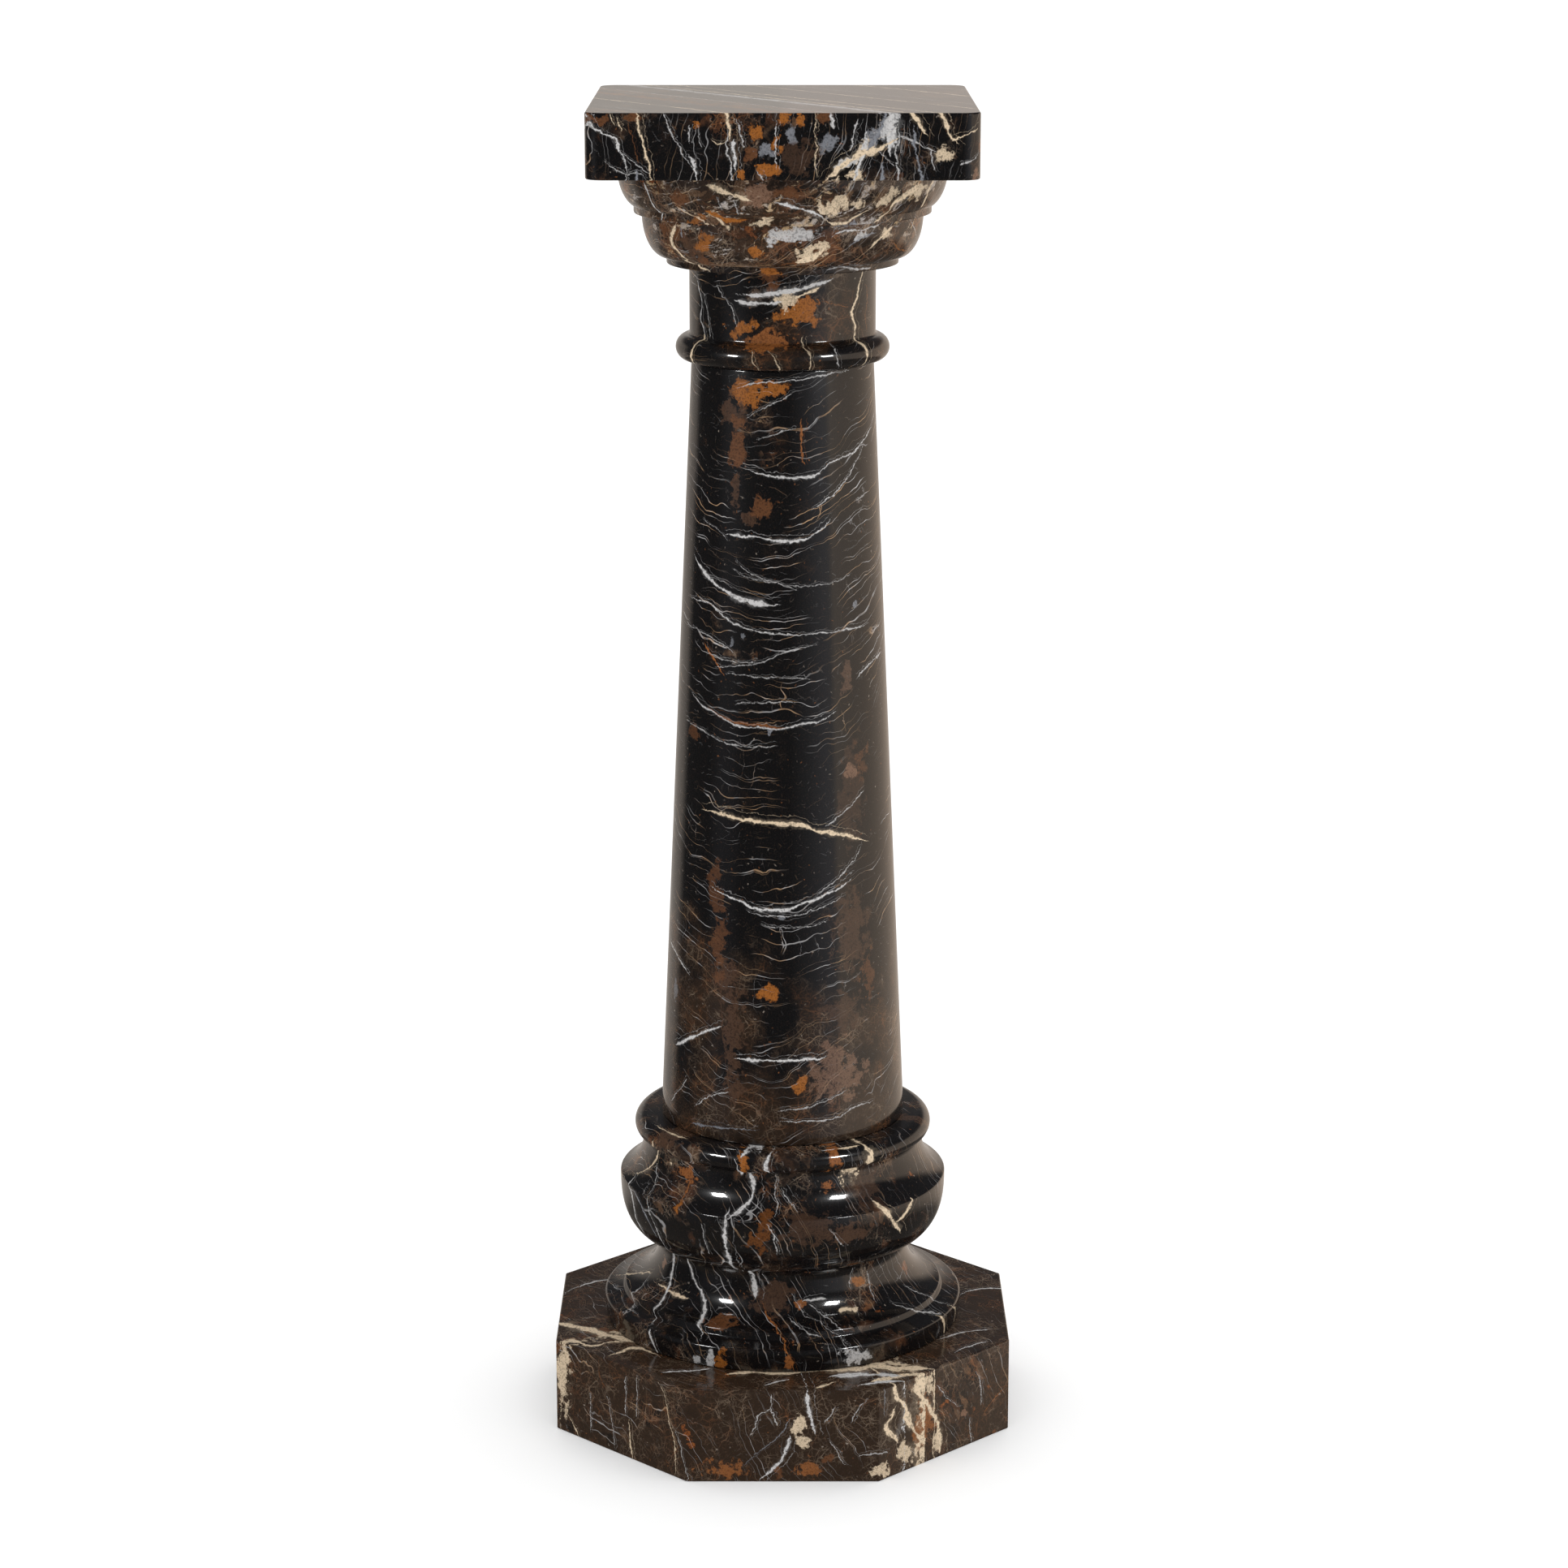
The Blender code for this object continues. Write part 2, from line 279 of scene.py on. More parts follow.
def scattered_threads():
    """Short straight threads: one thin sheet of pale calcite through each cell of the stone."""
    group, recipe, given, result = new_group(
        "scattered_threads", ("Place", "Lay"), ("Crowding", "Spread", "Thickness", "Rarity"))
    cell = recipe.cells(given["Place"], given["Crowding"]).node.outputs
    luck = recipe.node("ShaderNodeSeparateColor", cell["Color"]).node.outputs
    turn = recipe.vector("SUBTRACT", cell["Color"], NOISE_MIDDLE)
    turn = recipe.vector("SCALE", turn, None, None, given["Spread"])
    normal = recipe.vector("NORMALIZE", recipe.vector("ADD", turn, given["Lay"]))
    away = recipe.vector("SUBTRACT", given["Place"], cell["Position"])
    gap = recipe.sum("ABSOLUTE", recipe.vector("DOT_PRODUCT", away, normal, out=1))
    taper = recipe.ramp(cell["Distance"], 0.15, 0.50, 1.0, 0.0)
    width = recipe.sum("MULTIPLY", recipe.sum("MULTIPLY", given["Thickness"], taper),
                       recipe.sum("ADD", luck[0], 0.35))
    share = recipe.ramp(gap, recipe.sum("MULTIPLY", width, 0.4),
                        recipe.sum("ADD", width, THREAD_EDGE), 1.0, 0.0)
    share = recipe.sum("MULTIPLY", share, recipe.sum("GREATER_THAN", luck[1], given["Rarity"]))
    share = recipe.sum("MULTIPLY", share, recipe.sum("MULTIPLY_ADD", luck[2], 0.75, 0.25))
    recipe.feed(result["Share"], recipe.sum("MULTIPLY", share, recipe.ramp(taper, 0.0, 0.3)))
    return group


def hairlines():
    """Long thin threads: even sheets of pale calcite, each with its own luck, warped a little."""
    group, recipe, given, result = new_group(
        "hairlines", ("Place", "Lay"), ("Crowding", "Bend", "Thickness", "Cover"))
    depth = recipe.vector("DOT_PRODUCT", given["Place"], given["Lay"], out=1)
    drift = recipe.noise(given["Place"], 9.0, 3.0, 0.55)
    level = recipe.sum("MULTIPLY", depth, given["Crowding"])
    level = recipe.sum("ADD", level, recipe.sum("MULTIPLY", drift, given["Bend"]))
    inside = recipe.sum("ABSOLUTE", recipe.sum("SUBTRACT", recipe.sum("FRACT", level), 0.5))
    gap = recipe.sum("DIVIDE", inside, given["Crowding"])
    luck = recipe.node("ShaderNodeTexWhiteNoise", None, recipe.sum("FLOOR", level), noise_dimensions="1D")
    thin = recipe.noise(given["Place"], 55.0, 2.0, 0.6)
    width = recipe.sum("MULTIPLY", given["Thickness"], recipe.ramp(thin, 0.35, 0.68, 0.2, 1.3))
    share = recipe.ramp(gap, recipe.sum("MULTIPLY", width, 0.5),
                        recipe.sum("ADD", width, THREAD_EDGE), 1.0, 0.0)
    shown = recipe.noise(recipe.vector("ADD", given["Place"], (1.7, 0.4, 0.9)), 21.0, 2.0, 0.5)
    shown = recipe.ramp(shown, given["Cover"], recipe.sum("ADD", given["Cover"], 0.12))
    share = recipe.sum("MULTIPLY", share, shown)
    share = recipe.sum("MULTIPLY", share, recipe.ramp(luck, 0.1, 1.0, 0.3, 1.0))
    recipe.feed(result["Share"], share)
    return group


def marble_body(threads_group, lines_group):
    """The stone every piece is cut from: clouded ground, shards, cracks, threads and specks."""
    group, recipe, given, result = new_group(
        "marble_body", ("Place", "Lay"), ("Brown", "Shatter", "Threads", "Rust", "Cream"),
        results=(("Colour", "Color"), ("Marks", "Float")))
    place = given["Place"]

    # Slow and quick wandering that bends every crack.
    slow = recipe.vector("SUBTRACT", recipe.noise(place, 28.0, 3.0, out=1), NOISE_MIDDLE)
    bent = recipe.vector("MULTIPLY_ADD", slow, (0.016, 0.016, 0.016), place)
    quick = recipe.vector("SUBTRACT", recipe.noise(place, 170.0, 4.0, 0.7, out=1), NOISE_MIDDLE)
    frayed = recipe.vector("MULTIPLY_ADD", quick, (0.0060, 0.0060, 0.0060), bent)

    # Black ground with brown clouds whose edges are half sharp, and a fine grain.
    clouds = recipe.noise(frayed, 12.0, 5.0, 0.62)
    middle = recipe.sum("MULTIPLY_ADD", given["Brown"], -0.46, 0.74)
    brownness = recipe.ramp(clouds, recipe.sum("SUBTRACT", middle, 0.10), recipe.sum("ADD", middle, 0.10))
    colour = recipe.mix(brownness, shade(13, 12, 13), shade(46, 33, 23))
    grain = recipe.noise(place, 750.0, 3.0, 0.7)
    grainy = recipe.sum("MULTIPLY", recipe.ramp(grain, 0.54, 0.76, 0.0, 0.55),
                        recipe.ramp(brownness, 0.0, 1.0, 0.35, 1.0))
    colour = recipe.mix(grainy, colour, shade(92, 66, 46))
    colour = recipe.mix(recipe.ramp(grain, 0.22, 0.44, 0.5, 0.0), colour, shade(8, 7, 8))

    # Shattered zones: splinters of dark, brown, rust and tan stone, run together.
    shattered = recipe.noise(place, 15.0, 4.0, 0.6)
    needed = recipe.sum("MULTIPLY_ADD", given["Shatter"], -0.36, 0.74)
    broken = recipe.ramp(shattered, needed, recipe.sum("ADD", needed, 0.09))
    drawn_out = recipe.vector("DOT_PRODUCT", frayed, given["Lay"], out=1)
    drawn_out = recipe.vector("SCALE", given["Lay"], None, None, drawn_out)
    splinter_place = recipe.vector("MULTIPLY_ADD", drawn_out, (1.6, 1.6, 1.6), frayed)
    splinter = recipe.cells(splinter_place, 70.0, out=1)
    pick = recipe.node("ShaderNodeSeparateColor", splinter).node.outputs
    kinds = recipe.node("ShaderNodeValToRGB", pick[0]).node
    palette = [(0.0, shade(17, 14, 14)), (0.34, shade(46, 33, 26)), (0.62, shade(64, 45, 33)),
               (0.84, shade(88, 55, 35)), (0.94, shade(112, 84, 62))]
    kinds.color_ramp.interpolation = "CONSTANT"
    while len(kinds.color_ramp.elements) < len(palette):
        kinds.color_ramp.elements.new(0.5)
    for stop, (start, tone) in zip(kinds.color_ramp.elements, palette):
        stop.position = start
        stop.color = tone
    splinters = recipe.mix(recipe.ramp(grain, 0.35, 0.6, 0.55, 0.0), kinds.outputs[0], shade(20, 16, 14))
    colour = recipe.mix(recipe.sum("MULTIPLY", broken, 0.62), colour, splinters)

    # Ragged stains of rust and amber, and smears of cream and white in line with the lay.
    stain = recipe.noise(frayed, 26.0, 6.0, 0.68)
    rust_line = recipe.sum("MULTIPLY_ADD", given["Rust"], -0.30, 0.76)
    rusty = recipe.ramp(stain, rust_line, recipe.sum("ADD", rust_line, 0.02))
    rust_colour = recipe.mix(recipe.ramp(grain, 0.40, 0.66), shade(98, 52, 26), shade(160, 92, 40))
    rust_colour = recipe.mix(recipe.ramp(clouds, 0.45, 0.62), rust_colour, shade(86, 58, 42))
    colour = recipe.mix(recipe.sum("MULTIPLY", rusty, 0.85), colour, rust_colour)
    milk = recipe.noise(recipe.vector("ADD", splinter_place, (0.7, 0.2, 0.4)), 30.0, 7.0, 0.74)
    cream_line = recipe.sum("MULTIPLY_ADD", given["Cream"], -0.30, 0.78)
    creamy = recipe.ramp(milk, cream_line, recipe.sum("ADD", cream_line, 0.03))
    milk_colour = recipe.mix(recipe.ramp(stain, 0.42, 0.58), shade(186, 180, 176), shade(204, 174, 132))
    milk_colour = recipe.mix(recipe.ramp(grain, 0.35, 0.6, 0.6, 0.0), milk_colour, shade(96, 76, 60))
    colour = recipe.mix(recipe.sum("MULTIPLY", creamy, 0.85), colour, milk_colour)

    # The crack web: jagged rims of cells, wherever the stone is brown or shattered.
    tint = recipe.noise(place, 48.0, 3.0, 0.6)
    worked = recipe.sum("MAXIMUM", broken, recipe.sum("MULTIPLY", brownness, 0.6))
    worked = recipe.sum("MULTIPLY", worked, recipe.ramp(tint, 0.38, 0.62))
    web = None
    for crowding, reach, depth in ((38.0, 0.020, 0.8), (85.0, 0.030, 0.7), (190.0, 0.055, 0.45)):
        rim = recipe.cells(frayed, crowding, feature="DISTANCE_TO_EDGE")
        crack = recipe.ramp(rim, reach * 0.15, reach, depth, 0.0)
        web = crack if web is None else recipe.sum("MAXIMUM", web, crack)
    web = recipe.sum("MULTIPLY", web, worked)
    web_colour = recipe.mix(recipe.ramp(stain, 0.44, 0.58), shade(142, 124, 106), shade(128, 82, 50))
    colour = recipe.mix(web, colour, web_colour)

    # Hairlines along the lay and across it, and a scribble of tiny threads.
    across = recipe.vector("NORMALIZE", recipe.vector("CROSS_PRODUCT", given["Lay"], (0.35, 0.85, 0.40)))
    threads = None
    sets = [
        (bent, given["Lay"], 46.0, 1.8, 0.00034, 0.44),
        (bent, given["Lay"], 118.0, 5.0, 0.00021, 0.46),
        (bent, across, 26.0, 2.4, 0.00028, 0.59),
        (frayed, across, 84.0, 5.0, 0.00020, 0.59),
    ]
    for skin, sheet, crowding, bend, thickness, cover in sets:
        drawn = recipe.node("ShaderNodeGroup", skin, sheet, crowding, bend, thickness, cover,
                            node_tree=lines_group)
        threads = drawn if threads is None else recipe.sum("MAXIMUM", threads, drawn)
    scribbles = [(40.0, 1.1, 0.00030, 0.55, 0.7), (170.0, 2.4, 0.00028, 0.45, 0.5)]
    for crowding, spread, thickness, rarity, depth in scribbles:
        drawn = recipe.node("ShaderNodeGroup", frayed, given["Lay"], crowding, spread, thickness, rarity,
                            node_tree=threads_group)
        drawn = recipe.sum("MULTIPLY", drawn, recipe.ramp(broken, 0.0, 1.0, depth * 0.3, depth))
        threads = recipe.sum("MAXIMUM", threads, drawn)
    threads = recipe.sum("MULTIPLY", threads, given["Threads"])
    thread_colour = recipe.mix(recipe.ramp(tint, 0.42, 0.58), shade(190, 188, 188), shade(176, 142, 108))
    colour = recipe.mix(threads, colour, thread_colour)

    # Pale and rusty specks no larger than a grain of rice.
    dot = recipe.cells(frayed, 260.0).node.outputs
    luck = recipe.node("ShaderNodeSeparateColor", dot["Color"]).node.outputs
    speck = recipe.sum("MULTIPLY", recipe.ramp(dot["Distance"], 0.08, 0.26, 1.0, 0.0),
                       recipe.sum("GREATER_THAN", luck[0], 0.86))
    speck = recipe.sum("MULTIPLY", speck, recipe.sum("MULTIPLY_ADD", luck[1], 0.7, 0.2))
    speck_colour = recipe.mix(recipe.sum("GREATER_THAN", luck[2], 0.45),
                              shade(150, 138, 126), shade(124, 78, 44))
    colour = recipe.mix(speck, colour, speck_colour)

    recipe.feed(result["Colour"], colour)
    recipe.feed(result["Marks"], recipe.sum("MAXIMUM", threads, web))
    return group


def vein_stroke():
    """One vein across the skin, in millimetres: pointed, swelling, with a haze and an echo beside."""
    group, recipe, given, result = new_group(
        "vein_stroke", (), ("Along", "Aside", "Thickness", "Swell", "Fray"))
    to_end = recipe.sum("MINIMUM", given["Along"], recipe.sum("SUBTRACT", 1.0, given["Along"]))
    swollen = recipe.ramp(given["Swell"], 0.32, 0.68, 0.10, 0.46)
    pointed = recipe.ramp(to_end, 0.0, 0.2)
    half = recipe.sum("MULTIPLY", given["Thickness"], recipe.sum("MULTIPLY", swollen, pointed))
    away = recipe.sum("ADD", recipe.sum("ABSOLUTE", given["Aside"]), given["Fray"])
    core = recipe.ramp(away, recipe.sum("MULTIPLY", half, 0.75),
                       recipe.sum("MULTIPLY_ADD", half, 1.05, 0.16), 1.0, 0.0)
    haze = recipe.ramp(away, half, recipe.sum("MULTIPLY_ADD", half, 2.2, 0.5), 0.13, 0.0)
    shift = recipe.sum("MULTIPLY_ADD", given["Swell"], 9.0, -3.4)
    echo_line = recipe.sum("ADD", shift, given["Thickness"])
    beside = recipe.sum("ABSOLUTE", recipe.sum("SUBTRACT", given["Aside"], echo_line))
    echo = recipe.ramp(beside, 0.05, 0.32, 0.34, 0.0)
    share = recipe.sum("MAXIMUM", recipe.sum("MAXIMUM", core, haze), echo)
    recipe.feed(result["Share"], recipe.sum("MULTIPLY", share, recipe.ramp(to_end, 0.0, 0.04)))
    return group


def blotch():
    """One ragged blotch on the skin, in millimetres from its centre, mottled inside."""
    group, recipe, given, result = new_group(
        "blotch", (), ("Across", "Up", "Half Width", "Half Height", "Cosine", "Sine", "Rag", "Mottle"))
    level = recipe.sum("MULTIPLY_ADD", given["Across"], given["Cosine"],
                       recipe.sum("MULTIPLY", given["Up"], given["Sine"]))
    upright = recipe.sum("SUBTRACT", recipe.sum("MULTIPLY", given["Up"], given["Cosine"]),
                         recipe.sum("MULTIPLY", given["Across"], given["Sine"]))
    level = recipe.sum("DIVIDE", level, given["Half Width"])
    upright = recipe.sum("DIVIDE", upright, given["Half Height"])
    square = recipe.sum("MULTIPLY", upright, upright)
    reach = recipe.sum("SQRT", recipe.sum("MULTIPLY_ADD", level, level, square))
    reach = recipe.sum("ADD", reach, recipe.sum("MULTIPLY_ADD", given["Rag"], 4.2, -2.15))
    share = recipe.ramp(reach, 0.70, 1.10, 1.0, 0.0)
    mottled = recipe.ramp(given["Mottle"], 0.34, 0.50, 0.45, 1.0)
    recipe.feed(result["Share"], recipe.sum("MULTIPLY", share, mottled))
    return group


body_group = marble_body(scattered_threads(), hairlines())
stroke_group = vein_stroke()
blotch_group = blotch()
WHITE = shade(202, 200, 199)
GREY = shade(128, 130, 136)
CREAM = shade(224, 202, 172)
ORANGE = shade(150, 92, 48)
AMBER = shade(160, 96, 38)
RUST = shade(104, 66, 40)
BROWN = shade(78, 56, 42)
PINK = shade(132, 100, 80)
HONEY = shade(104, 60, 24)
MILLIMETRES_A_METRE = 1000.0
MILLIMETRES_A_DEGREE = 1.75
SLAB_FRONT = -150.0

# How a place is thrown aside: the scale of the noise, and its reach in metres.
SLOW_SHAKE = (75.0, 0.0055)
QUICK_SHAKE = (300.0, 0.0030)
BROAD_SHAKE = (42.0, 0.022)

FINE_PATCH = 7
DULLER = 0.42
THIN_VEIN = 0.45
VEIN_GAIN = 0.22
GLOSS = 0.07
GLOSS_LOST = 0.07
RELIEF_STRENGTH = 0.04
RELIEF_DEPTH = 0.0006
WAX = 0.16
WAX_ROUGHNESS = 0.28


class Marble:
    """One stone's finish, painted in order: body, then patches, then veins. Places on the skin
    are a turn in degrees from the front, or millimetres for a slab's sheets, and a height. An
    amount is a number, or two heights in metres and the amount at each."""

    def __init__(self, name, offset, lay, brown, shatter, threads, rust, cream, sheet_lean=None):
        self.material, self.recipe, self.outlet = new_finish(name)
        self.sheet_lean = sheet_lean
        recipe = self.recipe
        self.place = recipe.node("ShaderNodeTexCoord", out=3)
        moved = recipe.vector("ADD", self.place, offset)
        body = recipe.node("ShaderNodeGroup", node_tree=body_group).node
        height = recipe.node("ShaderNodeSeparateXYZ", self.place).node.outputs["Z"]
        given = [recipe.ramp(height, *amount) if isinstance(amount, tuple) else amount
                 for amount in (brown, shatter, threads, rust, cream)]
        for socket, value in zip(body.inputs, (moved, Vector(lay).normalized(), *given)):
            recipe.feed(socket, value)
        self.colour = body.outputs["Colour"]
        self.pits = body.outputs["Marks"]
        shaken = self.shaken(self.place, moved, *SLOW_SHAKE)
        jagged = self.shaken(shaken, moved, *QUICK_SHAKE)
        self.fine_skin = self.skin(jagged)
        self.coarse_skin = self.skin(self.shaken(jagged, moved, *BROAD_SHAKE))
        self.swell = recipe.noise(moved, 60.0, 3.0, 0.6)
        self.fray = recipe.sum("MULTIPLY_ADD", recipe.noise(moved, 900.0, 3.0, 0.6), 1.4, -0.7)
        self.rag = recipe.noise(jagged, 120.0, 5.0, 0.68)
        self.mottle = recipe.noise(moved, 420.0, 3.0, 0.65)
        self.patches = {}
        self.veins = {}

    def shaken(self, place, moved, scale, reach):
        """A place thrown aside, up to half the reach, by a noise of that scale."""
        shake = self.recipe.noise(moved, scale, 3.0, 0.6, out=1)
        shake = self.recipe.vector("SUBTRACT", shake, NOISE_MIDDLE)
        return self.recipe.vector("MULTIPLY_ADD", shake, (reach, reach, reach), place)

    def skin(self, place):
        """Turn, height, the millimetres that one unit of turn spans, and x and y."""
        recipe = self.recipe
        spot = recipe.vector("SCALE", place, None, None, MILLIMETRES_A_METRE)
        x, y, height = recipe.node("ShaderNodeSeparateXYZ", spot).node.outputs[:3]
        if self.sheet_lean is not None:
            lean = recipe.sum("MULTIPLY_ADD", y, self.sheet_lean, -SLAB_FRONT * self.sheet_lean)
            return recipe.sum("ADD", x, lean), height, 1.0, x, y
        turn = recipe.sum("DEGREES", recipe.sum("ARCTAN2", x, recipe.sum("MULTIPLY", y, -1.0)))
        radius = recipe.vector("LENGTH", recipe.vector("MULTIPLY", spot, (1.0, 1.0, 0.0)), out=1)
        return turn, height, recipe.sum("MULTIPLY", radius, math.radians(1)), x, y

    def paint(self, layer):
        """Lay every gathered share of a layer over the stone, each colour broken by the grain."""
        recipe = self.recipe
        broken = recipe.ramp(self.mottle, 0.48, 0.64, 0.0, 0.85)
        for colour, share in layer.items():
            duller = tuple(part * DULLER for part in colour[:3]) + (1.0,)
            self.colour = recipe.mix(share, self.colour, recipe.mix(broken, colour, duller))

    def gather(self, layer, colour, share, strength):
        """Join a share to the others of its colour in a layer."""
        share = self.recipe.sum("MULTIPLY", share, strength)
        if colour in layer:
            share = self.recipe.sum("MAXIMUM", share, layer[colour])
        layer[colour] = share

    def patch(self, colour, centre, half_size, lean=0.0, strength=0.92):
        """A ragged blotch: its centre on the skin, its half width and half height."""
        recipe = self.recipe
        skin = self.fine_skin if max(half_size) < FINE_PATCH else self.coarse_skin
        turn, height, unit = skin[:3]
        across = recipe.sum("MULTIPLY", recipe.sum("SUBTRACT", turn, centre[0]), unit)
        up = recipe.sum("SUBTRACT", height, centre[1])
        tilt = math.radians(lean)
        share = recipe.node("ShaderNodeGroup", across, up, half_size[0], half_size[1], math.cos(tilt),
                            math.sin(tilt), self.rag, self.mottle, node_tree=blotch_group)
        self.gather(self.patches, colour, share, strength)

    def vein(self, colour, thickness, *places, strength=1.0):
        """A vein through places on the skin, its thickness in millimetres; thin ones are fainter."""
        strength *= min(1.0, THIN_VEIN + VEIN_GAIN * thickness)
        turn, height, unit = self.fine_skin[:3]
        turns = [place[0] for place in places]
        heights = [place[1] for place in places]
        breadth = (max(turns) - min(turns)) * (MILLIMETRES_A_DEGREE if self.sheet_lean is None else 1.0)
        if breadth >= max(heights) - min(heights):
            self.stroke(colour, thickness, turn, height, turns, heights, 1.0, strength)
        else:
            self.stroke(colour, thickness, height, turn, heights, turns, unit, strength)

    def upright_vein(self, colour, thickness, *places, strength=1.0):
        """A sheet standing upright through the stone, through places (x, y) seen from above."""
        x, y = self.fine_skin[3:]
        first = [place[0] for place in places]
        second = [place[1] for place in places]
        self.stroke(colour, thickness, x, y, first, second, 1.0, strength)

    def stroke(self, colour, thickness, along, aside, runs, offsets, unit, strength):
        """Draw one vein that runs along one direction and wanders aside in the other."""
        recipe = self.recipe
        first, last = min(runs), max(runs)
        lowest = min(offsets)
        spread = max(max(offsets) - lowest, 0.1)
        share_along = recipe.node("ShaderNodeMapRange", along, first, last, 0.0, 1.0, clamp=False)
        curve = recipe.node("ShaderNodeFloatCurve", 1.0, share_along).node
        points = curve.mapping.curves[0].points
        ordered = sorted(zip(runs, offsets))
        while len(points) < len(ordered):
            points.new(0.5, 0.5)
        for point, (run, offset) in zip(points, ordered):
            point.location = ((run - first) / (last - first), (offset - lowest) / spread)
        curve.mapping.update()
        line = recipe.sum("MULTIPLY_ADD", curve.outputs[0], spread, lowest)
        gap = recipe.sum("MULTIPLY", recipe.sum("SUBTRACT", aside, line), unit)
        share = recipe.node("ShaderNodeGroup", share_along, gap, thickness, self.swell, self.fray,
                            node_tree=stroke_group)
        self.gather(self.veins, colour, share, strength)

    def finish(self, roughness=GLOSS):
        """Polish: gloss that the threads and cracks dull, a faint relief and a thin wax."""
        recipe = self.recipe
        self.paint(self.patches)
        self.paint(self.veins)
        dulled = recipe.ramp(self.pits, 0.2, 1.0, roughness, roughness + GLOSS_LOST)
        relief = recipe.node("ShaderNodeBump", RELIEF_STRENGTH, RELIEF_DEPTH).node
        recipe.feed(relief.inputs["Height"], recipe.noise(self.place, 420.0, 2.0))
        shader = recipe.tree.nodes.new("ShaderNodeBsdfPrincipled")
        recipe.feed(shader.inputs["Base Color"], self.colour)
        recipe.feed(shader.inputs["Roughness"], dulled)
        shader.inputs["Coat Weight"].default_value = WAX
        shader.inputs["Coat Roughness"].default_value = WAX_ROUGHNESS
        recipe.feed(shader.inputs["Normal"], relief.outputs["Normal"])
        recipe.feed(self.outlet.inputs["Surface"], shader.outputs[0])
        return self.material


def set_stone(name, mesh, material, node):
    """Stand a finished stone in place of its solid."""
    mesh.materials.clear()
    mesh.materials.append(material)
    stone = bpy.data.objects.new(name, mesh)
    bpy.context.scene.collection.objects.link(stone)
    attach(stone, "root")
    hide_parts(node)


def sawn_slab(name, outline, low, high, arris, corner=0.0):
    """Raise an outline into a slab, its level edges and, if given, its upright edges eased."""
    mesh = bpy.data.meshes.new(name)
    shape = bmesh.new()
    corners = [shape.verts.new((x, y, low)) for x, y in outline]
    under = shape.faces.new(list(reversed(corners)))
    raised = bmesh.ops.extrude_face_region(shape, geom=[under], use_keep_orig=True)
    top = [item for item in raised["geom"] if isinstance(item, bmesh.types.BMVert)]
    bmesh.ops.translate(shape, verts=top, vec=(0.0, 0.0, high - low))
    bmesh.ops.recalc_face_normals(shape, faces=shape.faces)
    if corner:
        upright = [edge for edge in shape.edges if edge.verts[0].co.z != edge.verts[1].co.z]
        bmesh.ops.bevel(shape, geom=upright, offset=corner, segments=EASING_STEPS,
                        profile=ROUND_PROFILE, affect="EDGES")
    level = [edge for edge in shape.edges
             if edge.verts[0].co.z == edge.verts[1].co.z and len(edge.link_faces) == 2
             and abs(edge.link_faces[0].normal.z - edge.link_faces[1].normal.z) > LEVEL_TO_UPRIGHT]
    bmesh.ops.bevel(shape, geom=level, offset=arris, segments=EASING_STEPS, profile=ROUND_PROFILE,
                    affect="EDGES")
    for height in (low + arris + EVEN_STRIP, high - arris - EVEN_STRIP):
        bmesh.ops.bisect_plane(shape, geom=shape.verts[:] + shape.edges[:] + shape.faces[:],
                               plane_co=(0.0, 0.0, height), plane_no=(0.0, 0.0, 1.0))
    broad = [face for face in shape.faces if face.calc_area() > BROAD_FACE_AREA]
    for face in shape.faces:
        face.smooth = True
    for face in broad:
        for edge in face.edges:
            edge.smooth = False
    shape.to_mesh(mesh)
    shape.free()
    return mesh


octagon_radius = PLINTH_ACROSS_FLATS / 2 / math.cos(math.pi / 8)
octagon = [(octagon_radius * math.cos(math.pi / 8 + math.pi / 4 * side),
            octagon_radius * math.sin(math.pi / 8 + math.pi / 4 * side)) for side in range(8)]
plinth_mesh = sawn_slab("plinth_stone", octagon, 0.0, PLINTH_HEIGHT, PLINTH_ARRIS, PLINTH_CORNER)
plinth_marble = Marble("plinth_marble", (3.1, 0.7, 1.9), (0.75, 0.45, 0.48), brown=1.05, shatter=0.55,
                       threads=0.55, rust=0.32, cream=0.0)
patch, vein, upright_vein = plinth_marble.patch, plinth_marble.vein, plinth_marble.upright_vein
patch(ORANGE, (-14, 11), (15, 7), strength=0.8)
patch(ORANGE, (7, 12), (8, 7), strength=0.8)
patch(RUST, (11, 20), (7, 3))
patch(RUST, (-1, 9), (3, 5))
patch(ORANGE, (37, 36), (11, 20), lean=-14, strength=0.75)
patch(RUST, (63, 2), (2, 2))
patch(RUST, (-68, 72), (9, 8))
patch(PINK, (52, 30), (3, 3))
patch(CREAM, (-65, 51), (8, 26))
patch(CREAM, (4, 46), (4, 8))
patch(CREAM, (5, 35), (6, 5))
patch(CREAM, (23, 8), (9, 4))
patch(CREAM, (36, 70), (9, 8))
patch(CREAM, (40, 67), (4, 8))
patch(CREAM, (43, 13), (5, 8))
patch(CREAM, (31, 14), (6, 9))
vein(CREAM, 2.0, (-64, 16), (-60, 1))
vein(RUST, 1.4, (-53, 77), (-51, 55), (-47, 51))
vein(RUST, 1.2, (-57, 64), (-55, 59), (-51, 53))
vein(WHITE, 1.0, (-43, 72), (-43, 51), (-43, 35))
vein(WHITE, 0.9, (-56, 45), (-56, 9))
vein(WHITE, 0.9, (-50, 48), (-48, 26), (-47, 2))
vein(WHITE, 0.9, (-39, 76), (-39, 37))
vein(CREAM, 2.0, (-42, 34), (-41, 0))
vein(CREAM, 1.4, (-34, 79), (-29, 66), (-28, 48), (-26, 27), (-26, 0))
vein(WHITE, 1.0, (-26, 41), (-24, 25), (-22, 0))
vein(WHITE, 5.0, (6, 80), (6, 66), (7, 55), (8, 40))
